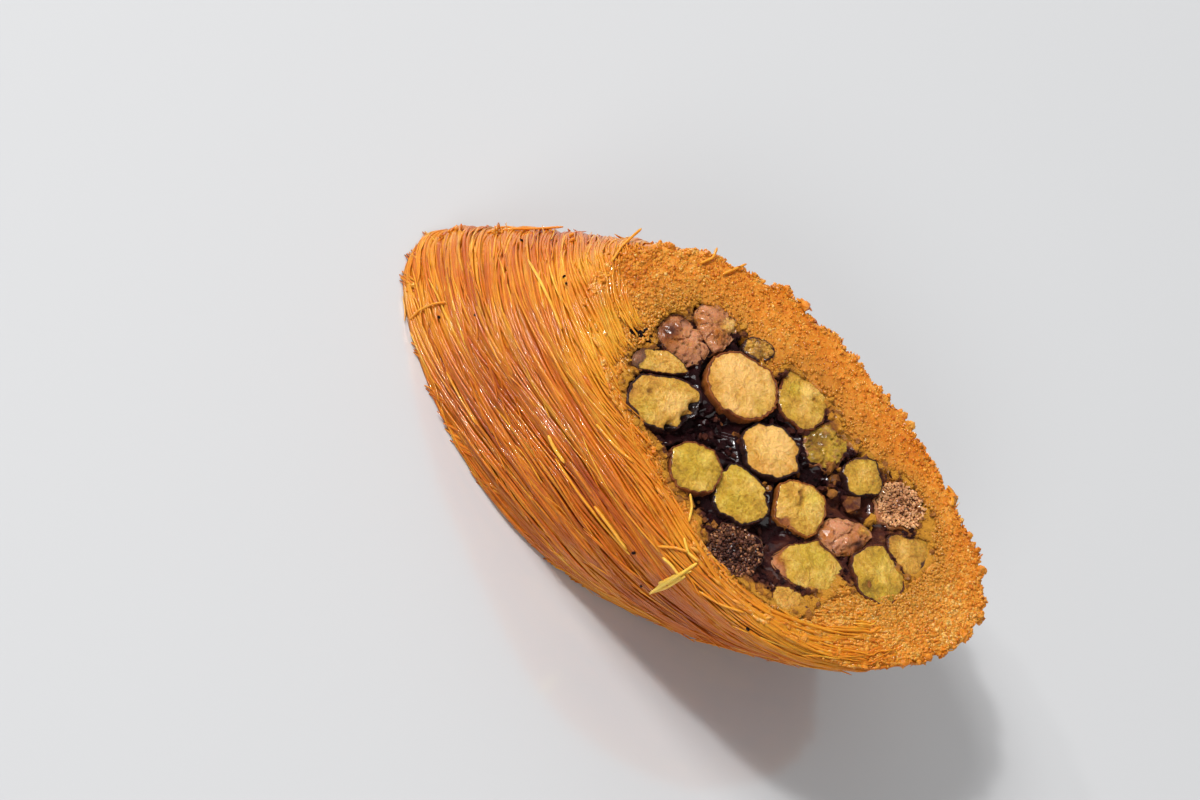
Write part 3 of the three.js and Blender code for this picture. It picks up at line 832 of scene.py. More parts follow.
# %% Layers of strands
def strand_run(random, place, lock_wave, lock_lean):
    """The running distance of a strand at each step, from its place in the turn, 0 to 1."""
    start = RISE_OF_A_TURN * place
    middle = screw_arc[np.argmin(np.abs(start + screw_rise - random.uniform(4, 20)))]
    run = start + screw_rise + lock_wave + lock_lean * (screw_arc - middle)
    run = run + wave(random, *STRAND_WAVE)
    return run + (screw_edge - EDGE_RUN_NEAR) * smooth_step(18, 25, run)  # follows the edge


def on_slice(random, run):
    """The steps of a strand between the foot and its end on the cut."""
    turns_in = random.uniform(0.1, 0.7)
    over = over_edge * smooth_step(turns_in, turns_in + 0.3, screw_near)
    highest = screw_edge + over - mix(0.1, 0.4, screw_near) - random.exponential(0.9)
    return (run > random.uniform(-3.2, 0.3)) & (run < highest)


def strand_layer(
    name, seed, count, out, tone, thick, lengths=(60, 90), kept=1.0, spread=0.01, curl=-0.2, sides=5
):
    """A layer of strands in locks, `out` mm above the wall, cut into `lengths` in steps."""
    random = np.random.default_rng(seed)
    batch = Batch()
    number = 0
    while number < count:
        lock_wave = sum(wave(random, *form) for form in LOCK_WAVES)
        lock_lean = random.normal(0, 0.03)
        lock_tone = random.normal(0, 0.05)
        lock_out = random.uniform(-0.08, 0.12)
        for _ in range(int(random.integers(3, 11))):
            place = (number + random.uniform(-0.4, 0.4)) / count
            number += 1
            run = strand_run(random, place, lock_wave, lock_lean)
            inside = on_slice(random, run)
            # towards the cut the tone is drawn to one paler tone: partly the strands' own colour,
            # partly painted bounce light
            at_cut = TONE_CHANGE_AT_CUT * smooth_step(-8, 0, run - screw_edge)
            # painted light towards the left end and painted shade along the middle of the wall
            painted_shading = PAINTED_LIGHT_AT_END * smooth_step(0.5, 1, -np.cos(screw_angle))
            painted_shading = painted_shading - PAINTED_SHADE_MIDDLE * np.exp(-(((run - MIDDLE_RUN) / MIDDLE_WIDTH) ** 2))
            for low, high in stretches(inside):
                for first, last in cut_up(random, low, high, *lengths):
                    if last - first < FEWEST_STEPS or random.random() > kept:
                        continue
                    lift = out + lock_out + random.uniform(-0.08, 0.08)
                    lift = lift + wave(random, *LIFT_WAVE)[first:last]
                    own = tone + lock_tone + random.normal(0, 0.08)
                    own = own + wave(random, *TONE_WAVE) + painted_shading
                    own = mix(own, TONE_AT_CUT_WITH_PAINTED_LIGHT, at_cut)[first:last]
                    rises = end_rises(random, curl, first == low, last == high)
                    strand(random, run, first, last, lift, own, thick, spread, rises, sides, batch)
    return batch.piece(name, syrup_strand, "pastry")


strand_layer("strands_deep", 5, 190, -0.42, 0.38, 0.3, sides=4)
strand_layer("strands_under", 7, 250, -0.2, 0.42, 0.23, lengths=(20, 60))
strand_layer("strands_outer", 9, 290, 0.0, 0.48, 0.18, lengths=(10, 50))
strand_layer(
    "strands_fine", 11, 300, 0.12, 0.62, 0.11, lengths=(6, 18), kept=0.3, spread=0.1, curl=0.7
)

# %% [markdown]
# Round the foot, where the lower cut broke them off, short ends of strands fray out.

# %% Frayed foot
FRINGE_TURN = np.array([0.04, 0.015, 0.0, -0.02])
FRINGE_HEIGHT = np.array([1.9, 1.0, 0.4, -0.3])


def foot_fringe(name, seed, clusters):
    """Short ends that fray out here and there round the foot."""
    random = np.random.default_rng(seed)
    batch = Batch()
    for _ in range(clusters):
        centre = random.uniform(0, 2 * math.pi)
        reach = random.uniform(0.1, 0.5)
        for _ in range(int(random.integers(2, 9))):
            angle = np.array(centre + random.normal(0, 0.02)) + FRINGE_TURN
            height = random.uniform(0.1, 0.8) + FRINGE_HEIGHT
            out = np.array([-0.2, 0.0, 0.3 * reach, reach * random.uniform(0.6, 1.2)])
            path, normals = surface_point(angle, height, out)
            thick = random.uniform(0.12, 0.22)
            tube(path, normals, thick, 5, 0.52 + random.normal(0, 0.1), batch)
    return batch.piece(name, syrup_strand, "pastry")


foot_fringe("strands_foot", 12, 30)

# %% [markdown]
# ## The bed under the strands
# Between the strands one sees down to a dense bed of pastry. It is one closed ring: wall, edge,
# cut, hole and lower cut, a little below the strands. Its cuts are granular. It starts as a torus,
# whose rings go up the wall, over the cut, down the hole and back along the lower cut.

# %% Pastry bed
BED_COLUMNS = 560
BED_DEPTH = 0.45  # below the strands
WALL_ROWS = 24
FACE_ROWS = 34
LOWER_FACE_ROWS = 17
HOLE_START = 1.6  # below each cut
HOLE_LEVELS = (THICKNESS - 4, THICKNESS / 2, 4)
NEAR_SINK = 0.3  # the cut lies lower where strands run along it
# painted light and shade: the cut's tone rises on its humps and falls in its dips
PAINTED_RELIEF_SHADING = 0.25  # how much paler a hump is, for each millimetre
HUMP_HEIGHT, GRAIN_HEIGHT = 0.2, 0.14
UPPER_GRAINS, LOWER_GRAINS = 1.0, 5.0  # where in the noise each cut lies


def grains(x, y, seed):
    """Unevenness of a cut, in mm: soft humps about 2 mm wide and grains of half a millimetre."""
    height = np.empty(len(x))
    for index, (a, b) in enumerate(zip(x, y)):
        hump = noise.fractal(Vector((a * 0.6, b * 0.6, seed)), 1.0, 2.0, 3)
        height[index] = HUMP_HEIGHT * hump
        height[index] += GRAIN_HEIGHT * noise.noise(Vector((a * 2.1, b * 2.1, seed + 9)))
    return height


def face_tone(angle):
    """The cut is paler at both ends, most of all at the right end."""
    ends = np.cos(2 * (angle - math.radians(345)))
    return 0.55 + 0.05 * ends + 0.05 * np.cos(angle - math.radians(315))


def face_stain(near, inwards):
    """The cut is stained round the filling, most of all on the far side."""
    return (1 - 0.6 * near) * smooth_step(0.3, 0.95, inwards)


def hoop(rings, columns):
    """A torus, and the ring and spoke of each of its points. Rings start outside and go up."""
    middle, thick = HALF_WIDTH * MM, THICKNESS / 2 * MM
    bpy.ops.mesh.primitive_torus_add(
        major_segments=columns, minor_segments=rings, major_radius=middle, minor_radius=thick,
        generate_uvs=False,
    )
    piece = bpy.context.object
    points = mesh_points(piece)
    outwards = np.hypot(points[:, 0], points[:, 1]) - middle
    turn = np.arctan2(points[:, 2], outwards) / (2 * math.pi)
    return piece, np.round(turn * rings).astype(int) % rings, spoke_of(points, columns)


# %% The bed
def pastry_bed():
    angle = 2 * math.pi * np.arange(BED_COLUMNS) / BED_COLUMNS
    radius = edge_radius(angle)
    near = nearness(angle)
    rings, tones, stains = [], [], []
    for share in np.linspace(0, 1, WALL_ROWS):
        depth = BED_DEPTH * min(1.0, 3 * share + 0.2) * mix(1.0 - 0.8 * share**6, 1.0, near)
        points, _ = surface_point(angle, edge_run(angle) * share, -depth)
        rings.append(points)
        # paler towards the edge: partly the pastry's own colour, partly painted bounce light
        tones.append(np.full(BED_COLUMNS, 0.42 + 0.2 * share**6))
        stains.append(np.zeros(BED_COLUMNS))
    rim_x, rim_y = wall_xy(angle, THICKNESS, rim_unevenness(angle, THICKNESS) - radius - 0.1, 0.0)
    inner_x, inner_y = crust_xy(angle)
    for share in np.linspace(0.03, 1, FACE_ROWS):
        x, y = mix(rim_x, inner_x, share), mix(rim_y, inner_y, share)
        lift = grains(x, y, UPPER_GRAINS)
        z = THICKNESS - mix(0.04, 0.04 + NEAR_SINK, near) - 0.35 * share**8 + lift
        rings.append(to_slice(x, y, z))
        # painted light on the humps, painted shade in the dips
        tones.append(face_tone(angle) + PAINTED_RELIEF_SHADING * lift)
        stains.append(face_stain(near, share))
    low_x, low_y = crust_xy(angle, -1)
    rings.append(to_slice(inner_x, inner_y, THICKNESS - HOLE_START))
    for z in HOLE_LEVELS:
        x, y = filling_xy(angle, np.full(BED_COLUMNS, float(z)))
        rings.append(to_slice(x, y, z))
    rings.append(to_slice(low_x, low_y, HOLE_START))
    for _ in range(len(HOLE_LEVELS) + 2):
        tones.append(np.full(BED_COLUMNS, 0.2))
        stains.append(np.ones(BED_COLUMNS))
    foot_x, foot_y = wall_xy(angle, 0.0, -0.8, 0.0)
    for share in np.linspace(0.0, 0.95, LOWER_FACE_ROWS):
        x, y = mix(low_x, foot_x, share), mix(low_y, foot_y, share)
        lift = grains(x, y, LOWER_GRAINS)
        rings.append(to_slice(x, y, 0.35 + lift))
        # painted light on the humps, painted shade in the dips
        tones.append(0.5 + PAINTED_RELIEF_SHADING * lift)
        stains.append(face_stain(0 * angle, 1 - share))
    bed, ring, spoke = hoop(len(rings), BED_COLUMNS)
    bed.name = "pastry_bed"
    move_rings(bed, ring, spoke, np.stack(rings))
    tone, stain = np.stack(tones)[ring, spoke], np.stack(stains)[ring, spoke]
    dress(bed, packed_strand, "pastry", tone=tone, stain=stain)
    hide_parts("pastry_shell")
    print("the bed has", len(bed.data.polygons), "quads")


pastry_bed()

# %% [markdown]
# ## Cut ends
# The knife leaves thousands of strand ends on both cuts. Each end is a short stub that points the
# way the strands run there: steep on the far side, almost flat on the near side.

# %% Strand ends on the cuts
def strand_direction(angle):
    """The unit direction of the strands at an angle, in the slice's frame."""
    step = 0.01
    x0, y0 = outline(angle - step, THICKNESS / 2)
    x1, y1 = outline(angle + step, THICKNESS / 2)
    rise = strand_rise(angle + step, x1) - strand_rise(angle - step, x0)
    way = np.stack([x1 - x0 + LEAN / THICKNESS * rise, y1 - y0, rise], axis=-1)
    return way / np.linalg.norm(way, axis=-1, keepdims=True)


TRIES = 4  # places tried for each one kept


def places_on_cut(random, count, z):
    """Even random places between the filling and the edge: angle, share outwards, x and y."""
    angle = random.uniform(0, 2 * math.pi, count * TRIES)
    share = random.uniform(0, 1, count * TRIES)
    inner_x, inner_y = crust_xy(angle, 1 if z > 0 else -1)
    outer_x, outer_y = wall_xy(angle, z, -0.45, 0.0)
    x, y = mix(inner_x, outer_x, share), mix(inner_y, outer_y, share)
    weight = np.hypot(outer_x - inner_x, outer_y - inner_y) * np.hypot(x, y)
    kept = np.flatnonzero(random.uniform(0, weight.max(), count * TRIES) < weight)[:count]
    return angle[kept], share[kept], x[kept], y[kept]


def cut_area(z):
    """The area of the pastry on a cut, in square millimetres."""
    angle = np.linspace(0, 2 * math.pi, 721)
    areas = []
    for x, y in (wall_xy(angle, z, -0.5, 0.0), filling_xy(angle, z)):
        areas.append(0.5 * abs(np.sum(x[:-1] * y[1:] - x[1:] * y[:-1])))
    return areas[0] - areas[1]


END_SINK = -0.1
END_SCATTER = 0.16
COVERED_FROM = 0.75  # past this the strands of the wall lie over the cut
STUB = 0.2  # below the cut a stub starts to turn


def cut_ends(name, seed, upper, density, thick):
    """Stubs of strands on a cut, so many to the square millimetre."""
    random = np.random.default_rng(seed)
    z = THICKNESS if upper else 0.0
    angle, share, x, y = places_on_cut(random, int(cut_area(z) * density), z)
    way = strand_direction(angle)
    near = nearness(angle) if upper else 0 * angle
    humps = grains(x, y, UPPER_GRAINS) if upper else 0 * angle
    batch = Batch()
    for index in range(len(angle)):
        flat = near[index]
        if flat * share[index] > COVERED_FROM:
            continue
        height = random.normal(END_SINK, 0.05) - NEAR_SINK * flat + humps[index]
        direction = way[index] + random.normal(0, END_SCATTER, 3)
        direction /= np.linalg.norm(direction)
        if not upper:
            height = abs(height)
            direction = -direction
        middle = to_slice(x[index], y[index], z + height)
        below = random.uniform(0.7, 1.3)
        above = 0.9 * flat * random.random()
        path = np.stack([middle + direction * step for step in (-below, -STUB, above)])
        tone = face_tone(angle[index]) + random.normal(0, 0.1)
        stain = face_stain(flat, 1 - share[index])
        radius = thick * random.uniform(0.7, 1.3)
        sideways = np.tile(np.cross(direction, [0.3, 0.5, 0.8]), (3, 1))
        tube(path, sideways, radius, 5, tone, batch, stain=stain)
    return batch.piece(name, crumb_strand, "pastry")


cut_ends("strand_ends_upper", 13, True, 4.4, 0.21)
cut_ends("strand_ends_lower", 17, False, 2.2, 0.22)

# %% [markdown]
# ## Crumbs
# Baked ends break into crumbs that stick to the cut and hang on its rim in small clusters. A
# crumb starts as a ball of twenty faces, and each copy gets its own dents, size, turn and tone.

# %% Crumbs
bpy.ops.object.select_all(action="DESELECT")
bpy.ops.mesh.primitive_ico_sphere_add(subdivisions=1, radius=MM, calc_uvs=False)
crumb_blank = bpy.context.object
LUMP_POINTS = mesh_points(crumb_blank) / MM
LUMP_FACES = np.array([tuple(face.vertices) for face in crumb_blank.data.polygons])
bpy.data.objects.remove(crumb_blank)
print("a crumb has", len(LUMP_FACES), "faces")


SQUAT = 0.6  # how far a torn lump may be stretched or flattened


def lump(random, middle, size, tone, batch, stretch=0.4, stain=0.0):
    """A dented crumb of its own size and turn."""
    shape = LUMP_POINTS * random.uniform(0.78, 1.2, (len(LUMP_POINTS), 1))
    shape = shape * (1 + random.uniform(-stretch, stretch, 3))
    turned = np.array(Matrix.Rotation(random.uniform(0, 6.28), 3, Vector(random.normal(size=3))))
    batch.add(middle + (shape * size) @ turned.T, LUMP_FACES, tone, stain)


# %% Crumbs on the cut
CRUMB_SIZE = 0.14
CRUMB_SIZE_RANGE = 0.17


def cut_crumbs(name, seed, count):
    """Crumbs all over the upper cut, apart from where strands run over it."""
    random = np.random.default_rng(seed)
    batch = Batch()
    angle, share, x, y = places_on_cut(random, count, THICKNESS)
    humps = grains(x, y, UPPER_GRAINS)
    for index in range(len(angle)):
        near = nearness(angle[index])
        if random.random() < near * smooth_step(0.3, 0.8, share[index]):
            continue
        size = CRUMB_SIZE + CRUMB_SIZE_RANGE * random.random() ** 2
        z = THICKNESS - NEAR_SINK * near - 0.5 * size + humps[index] + random.normal(0, 0.05)
        tone = face_tone(angle[index]) + random.normal(0, 0.13)
        stain = face_stain(near, 1 - share[index])
        lump(random, to_slice(x[index], y[index], z), size, tone, batch, stain=stain)
    return batch.piece(name, crumb_strand, "pastry")


# %% Clumps on the rim
def clump(random, point, size, count, tone, batch):
    """A crumb with smaller ones stuck to it."""
    lump(random, point, 0.7 * size, tone, batch)
    for _ in range(count):
        way = random.normal(size=3)
        place = point + way * (random.uniform(0.3, 0.75) * size / np.linalg.norm(way))
        own_size = size * random.uniform(0.2, 0.55)
        lump(random, place, own_size, tone + random.normal(0, 0.05), batch, SQUAT)


RIM_TONE = 0.55
RIM_CLUMPS = (
    # pixels where larger clumps stand out of the rim, and their size in mm
    ((660, 253), 0.9), ((682, 257), 0.8), ((741, 268), 0.7), ((790, 290), 1.0), ((805, 304), 1.0),
    ((829, 331), 0.7), ((842, 351), 0.9), ((858, 365), 0.6), ((889, 397), 0.9), ((916, 433), 0.6),
    ((928, 457), 0.8), ((938, 480), 0.9), ((951, 495), 1.1), ((946, 512), 0.7), ((965, 534), 0.9),
    ((984, 568), 0.9), ((980, 592), 0.8), ((981, 616), 0.9), ((965, 636), 1.0), ((943, 650), 0.9),
    ((905, 661), 0.8), ((864, 665), 0.9), ((842, 662), 0.6), ((455, 234), 0.5), ((448, 236), 0.4),
)


def rim_crumbs(name, seed, clusters):
    """Ragged clusters round the rim, more of them on the far side."""
    random = np.random.default_rng(seed)
    batch = Batch()
    for _ in range(clusters):
        angle = np.array(random.uniform(0, 2 * math.pi))
        if random.random() < 0.85 * nearness(angle):
            continue
        run = edge_run(angle) - random.exponential(0.6)
        size = random.uniform(0.3, 0.8)
        point, _ = surface_point(angle, run, random.uniform(-0.7, -0.2) * size)
        clump(random, point, size, 7, RIM_TONE + random.normal(0, 0.05), batch)
    for pixel, size in RIM_CLUMPS:
        point, normal = place_seen(pixel)
        clump(random, point - 0.5 * normal, size, 14, RIM_TONE, batch)
    return batch.piece(name, crumb_strand, "pastry", smooth=False)


cut_crumbs("crumbs_upper", 19, 8500)
rim_crumbs("crumbs_rim", 21, 420)

# %% [markdown]
# ## Loose bits
# A few strands stand off the slice, a broad flake lies on the wall, chips stick out of the rim,
# and some scorched specks sit among the strands. Each is placed where it shows.

# %% Loose bits
LOOSE_STRANDS = (
    # pixels along the strand, radius, tone
    (((612, 262), (622, 248), (632, 239), (641, 231)), 0.2, 0.8),
    (((700, 264), (712, 259), (716, 250)), 0.2, 0.75),
    (((722, 275), (732, 271), (745, 266)), 0.2, 0.8),
    (((491, 234), (512, 231), (538, 231), (563, 229)), 0.2, 0.7),
    (((488, 235), (503, 229), (530, 232)), 0.22, 0.65),
    (((510, 232), (524, 229), (551, 232)), 0.18, 0.7),
    (((411, 321), (421, 311), (434, 305), (448, 303)), 0.18, 0.65),
    (((529, 262), (540, 280), (552, 304), (563, 330)), 0.22, 0.85),
    (((550, 435), (556, 448), (566, 462)), 0.26, 0.85),
    (((557, 458), (580, 492), (605, 524), (631, 553)), 0.2, 0.8),
    (((596, 505), (612, 526), (628, 548)), 0.24, 0.85),
    (((448, 372), (462, 398), (478, 424)), 0.18, 0.8),
    (((598, 424), (616, 446), (634, 462)), 0.22, 0.75),
    (((688, 522), (691, 508), (689, 495)), 0.2, 0.95),
    (((660, 545), (676, 547), (690, 552)), 0.22, 0.7),
    (((700, 590), (722, 604), (744, 612)), 0.2, 0.75),
    (((651, 592), (664, 584), (680, 574), (697, 563)), 0.26, 1.0),
    (((655, 590), (668, 586), (686, 575)), 0.24, 1.0),
    (((660, 582), (670, 577), (692, 570)), 0.22, 0.95),
    (((664, 556), (673, 564), (683, 578)), 0.2, 1.0),
    (((684, 538), (688, 552), (698, 561)), 0.2, 0.95),
)
FLAKES = (
    # pixels along the flake, half widths in mm, tone
    (((652, 592), (662, 584), (676, 577), (688, 569)), (0.1, 0.35, 0.5, 0.15), 1.0),
    (((795, 301), (803, 304), (810, 313)), (0.3, 0.5, 0.3), 0.65),
    (((946, 487), (952, 495), (951, 506)), (0.3, 0.5, 0.3), 0.65),
)
TUFTS = (
    # pixel, how far it reaches in pixels across and up, spread in mm, number of ends, tone
    ((455, 232), (1, 4), 0.45, 16, 0.6), ((442, 239), (-2, 3), 0.4, 8, 0.6),
    ((410, 286), (-3, 2), 0.35, 8, 0.65), ((498, 235), (-3, 4), 0.4, 9, 0.65),
    ((575, 240), (3, 3), 0.4, 6, 0.65),
)
SPECKS = (
    (522, 242), (565, 278), (567, 285), (440, 318), (476, 316), (635, 552), (642, 585), (748, 628),
)
LOOSE_LIFT, FLAKE_LIFT, SPECK_LIFT = 0.3, 0.35, 0.25
LOOSE_THICKNESS = 0.9  # of the radius in the table


def along_pixels(pixels, steps, lift):
    """A smooth path over the outside through some pixels, and its normals."""
    corners, normals = zip(*(place_seen(pixel) for pixel in pixels))
    corners, normals = np.array(corners), np.array(normals)
    knots = np.arange(len(pixels))
    shares = np.linspace(0, len(pixels) - 1, steps)
    path = np.stack([np.interp(shares, knots, corners[:, axis]) for axis in range(3)], axis=-1)
    facing = np.stack([np.interp(shares, knots, normals[:, axis]) for axis in range(3)], axis=-1)
    smoothed = path.copy()
    smoothed[1:-1] = (path[:-2] + 2 * path[1:-1] + path[2:]) / 4
    return smoothed + facing * lift, facing


def tuft(random, pixel, reach, spread, count, tone, batch):
    """Strand ends that stick out of the slice side by side."""
    root, facing = place_seen(pixel)
    outwards = (camera_right * reach[0] + camera_up * reach[1]) / PIXELS_PER_MM
    for _ in range(count):
        start = root - 0.5 * outwards + random.normal(0, spread, 3)
        tip = start + outwards * random.uniform(0.8, 1.5) + random.normal(0, 0.2, 3)
        path = np.stack([start, (start + tip) / 2 + random.normal(0, 0.12, 3), tip])
        own_tone = tone + random.normal(0, 0.08)
        tube(path, np.tile(facing, (3, 1)), random.uniform(0.16, 0.32), 5, own_tone, batch)


def loose_bits():
    """Makes the loose strands, and gives back the specks, which join the paste later."""
    random = np.random.default_rng(25)
    strands = Batch()
    for pixels, radius, tone in LOOSE_STRANDS:
        path, facing = along_pixels(pixels, 4 * len(pixels), LOOSE_LIFT)
        tube(path, facing, radius * LOOSE_THICKNESS, 6, tone, strands)
    for pixels, widths, tone in FLAKES:
        path, facing = along_pixels(pixels, 4 * len(pixels), FLAKE_LIFT)
        shares = np.linspace(0, len(widths) - 1, len(path))
        width = np.interp(shares, np.arange(len(widths)), widths)
        width = width * random.uniform(0.85, 1.15, len(path))
        tube(path, facing, width, 8, tone, strands, flat=0.3)
    for pixel, reach, spread, count, tone in TUFTS:
        tuft(random, pixel, reach, spread, count, tone, strands)
    strands.piece("loose_strands", syrup_strand, "pastry")
    specks = Batch()
    for pixel in SPECKS:
        point, normal = place_seen(pixel)
        lump(random, point + SPECK_LIFT * normal, random.uniform(0.16, 0.26), 0.0, specks)
    return specks


specks = loose_bits()

# %% [markdown]
# ## Nut flesh and skin
# The section runs from cream through gold to yellow-green. The skin is dark purple-brown, and
# where it has come off, the side is orange-brown and glossy. Both are mixed by attributes.

# %% Nut material
FLESH_WARM = ((0.0, (0.30, 0.10, 0.012)), (0.5, (0.66, 0.31, 0.048)), (1.0, (0.88, 0.51, 0.15)))
FLESH_GREEN = ((0.0, (0.25, 0.14, 0.010)), (0.5, (0.55, 0.33, 0.024)), (1.0, (0.76, 0.53, 0.09)))
SKIN_TONES = (
    (0.0, (0.42, 0.13, 0.015)), (0.3, (0.20, 0.05, 0.012)),
    (0.7, (0.05, 0.013, 0.009)), (1.0, (0.014, 0.004, 0.004)),
)
ROSY = (0.62, 0.26, 0.125)


def nut_material():
    material, nodes, links, shader = new_material("pistachio_flesh")
    broad = noise_node(nodes, links, 350.0, 4.0, 0.65)
    patches = noise_node(nodes, links, 260.0, 3.0)
    edges = noise_node(nodes, links, 800.0, 4.0, 0.7)
    fine = noise_node(nodes, links, 1900.0, 4.0, 0.75)

    def add(*values):
        return math_node(nodes, links, "ADD", *values)

    def around(value, width):
        return around_zero(nodes, links, value, width)

    def limited(value):
        positive = math_node(nodes, links, "MAXIMUM", value, 0.0)
        return math_node(nodes, links, "MINIMUM", positive, 1.0)

    tone = add(add(attribute_node(nodes, "pale"), around(broad, 1.7)), around(fine, 1.3))
    warm, cool = ramp_node(nodes, FLESH_WARM), ramp_node(nodes, FLESH_GREEN)
    for ramp in (warm, cool):
        links.new(tone, ramp.inputs["Fac"])
    green = limited(add(attribute_node(nodes, "green"), around(patches, 1.6)))
    flesh = mix_colour(nodes, links, green, warm.outputs["Color"], cool.outputs["Color"])
    side = ramp_node(nodes, SKIN_TONES)
    links.new(add(attribute_node(nodes, "deep"), around(broad, 0.8)), side.inputs["Fac"])
    rosy = limited(add(0.5, around(patches, 3.6)))
    rosy = math_node(nodes, links, "MULTIPLY", attribute_node(nodes, "rosy"), rosy)
    side = mix_colour(nodes, links, rosy, side.outputs["Color"], ROSY)
    # the edge between skin and flesh is torn: noise moves it, then it is made sharp
    skin = add(attribute_node(nodes, "skin"), around(edges, 0.9))
    skin = limited(math_node(nodes, links, "MULTIPLY_ADD", skin, 5.0, -2.0))
    links.new(mix_colour(nodes, links, skin, flesh, side), shader.inputs["Base Color"])
    add_bump(nodes, links, shader, add(fine, edges), 0.9, 0.7)
    set_surface(shader, 0.5, 0.36, 0.12, 0.25, 1.2)
    return material


pistachio = nut_material()

# %% [markdown]
# A nut is a stack of rings: over the section, round the skin that stands at its edge, and down
# the side. A round blank is modelled once: a small disc, whose rim is extruded and scaled ring by
# ring, and the last rim is filled. Each nut is a copy of it, pressed to its own outline. Near the
# cut the side goes straight down, further below it leans with the roll.

# %% A blank for the nuts
FACE_SHARES = (0.06, 0.14, 0.22, 0.3, 0.38, 0.46, 0.54, 0.61, 0.68, 0.74, 0.8, 0.85, 0.9, 0.94)
SIDE_RINGS = (
    # share of the width, drop in mm, depth of colour beside the nut's own
    (0.965, 0.30, 0.15), (0.985, 0.15, 0.05), (1.0, 0.2, 0.0), (1.005, 0.5, 0.0), (1.0, 1.0, 0.0),
    (0.98, 1.7, 0.1), (0.94, 2.6, 0.35), (0.88, 3.8, 0.6), (0.75, 5.2, 0.8),
)
BLANK_RADIUS = 4.0
BLANK_PROFILE = [(BLANK_RADIUS * share, 0.0) for share in FACE_SHARES]
BLANK_PROFILE += [(BLANK_RADIUS * share, -drop) for share, drop, _ in SIDE_RINGS]


def nut_blank(profile):
    """Turns a blank from the radius and height of each ring, and closes its foot with a fan."""
    radius, height = profile[0]
    bpy.ops.object.select_all(action="DESELECT")
    bpy.ops.mesh.primitive_circle_add(
        vertices=NUT_COLUMNS, radius=radius * MM, fill_type="TRIFAN", calc_uvs=False,
    )
    blank = bpy.context.object
    bpy.ops.object.mode_set(mode="EDIT")
    bpy.ops.mesh.select_mode(type="EDGE")
    bpy.ops.mesh.select_all(action="DESELECT")
    bpy.ops.mesh.select_non_manifold()
    for next_radius, next_height in profile[1:]:
        step = (0, 0, (next_height - height) * MM)
        bpy.ops.mesh.extrude_region_move(TRANSFORM_OT_translate={"value": step})
        wider = next_radius / radius
        bpy.ops.transform.resize(value=(wider, wider, 1), center_override=(0, 0, 0))
        radius, height = next_radius, next_height
    bpy.ops.mesh.edge_face_add()
    bpy.ops.mesh.poke()
    bpy.ops.mesh.select_all(action="SELECT")
    bpy.ops.mesh.normals_make_consistent(inside=False)
    bpy.ops.object.mode_set(mode="OBJECT")
    return blank


def blank_rings(blank, profile):
    """The ring and spoke of each point of a blank, with its two poles as rings."""
    points = mesh_points(blank) / MM
    radii = np.array([0.0] + [radius for radius, _ in profile] + [0.0])
    heights = np.array([profile[0][1]] + [height for _, height in profile] + [profile[-1][1]])
    radius = np.hypot(points[:, 0], points[:, 1])
    apart = np.hypot(radius[:, None] - radii, points[:, 2][:, None] - heights)
    return np.argmin(apart, axis=1), spoke_of(points, NUT_COLUMNS)


BLANKS = {}
for count in range(len(FACE_SHARES) + 5, len(BLANK_PROFILE) + 1):
    blank = nut_blank(BLANK_PROFILE[:count])
    BLANKS[count] = (blank, *blank_rings(blank, BLANK_PROFILE[:count]))
print("the full blank has", len(blank.data.vertices), "points")

# %% Nuts
STRAIGHT_DOWN = 3.2  # the side goes straight down so far
NUT_SUNK = 0.25
BURIED_SUNK = 0.6
NUT_TILT = 0.03
NUT_LOWEST = 0.1
NUT_HIGHEST = THICKNESS + 1.3
SIDE_RELIEF = 0.1
EDGE_FROM = 0.76  # the share of the width where the rounded edge starts
SPOT_EFFECTS = {  # height in mm, green, pale, skin, rosy, depth of colour
    # dark: a small dent whose flesh is painted darker, painted shade in the dip
    "dark": (-0.22, 0.0, -0.75, 0.0, 0.0, 0.2),
    "pale": (0.03, -0.2, 0.35, 0.0, 0.0, 0.0),
    "green": (0.0, 0.6, 0.0, 0.0, 0.0, 0.0),
    "brown": (-0.3, 0.0, -0.2, 0.8, 0.8, -0.25),
    "torn": (-1.2, 0.0, -0.6, 0.7, 0.0, 0.6),
    "purple": (0.15, 0.0, -0.2, 0.9, 0.3, 0.55),
    "tan": (0.2, -0.3, 0.45, -0.5, 0.0, 0.0),
    "pink": (0.2, -0.1, 0.1, -0.2, 0.3, -0.2),
}
LOOKS = {  # relief in mm, rosy, skin on the section, dome in mm (less than nothing: a hollow)
    "cut": (0.2, 0.0, 0.0, 0.25),
    "torn": (0.4, 0.6, 0.42, 0.5),
    "whole": (0.4, 1.0, 0.8, 0.8),
    "hollow": (0.7, 0.8, 0.85, -1.0),
}
step_x = to_pixels(cut_middle + [1.0, 0, 0]) - to_pixels(cut_middle)
step_y = to_pixels(cut_middle + [0, 1.0, 0]) - to_pixels(cut_middle)


def nut_relief(x, y, look):
    """Unevenness about 1 high: a sawn section, or the creases of a wrinkled nut."""
    rough = noise.fractal(Vector((x * 0.7, y * 0.7, 2)), 0.9, 2.1, 5)
    if look == "cut":
        return rough + 0.5 * noise.noise(Vector((x * 2.7, y * 2.7, 4)))
    crease = abs(noise.noise(Vector((x * 0.6, y * 0.6, 6))))
    crease += 0.5 * abs(noise.noise(Vector((x * 1.5, y * 1.5, 8))))
    return 0.5 * rough - 1.2 * max(0.0, 1 - crease / 0.3)


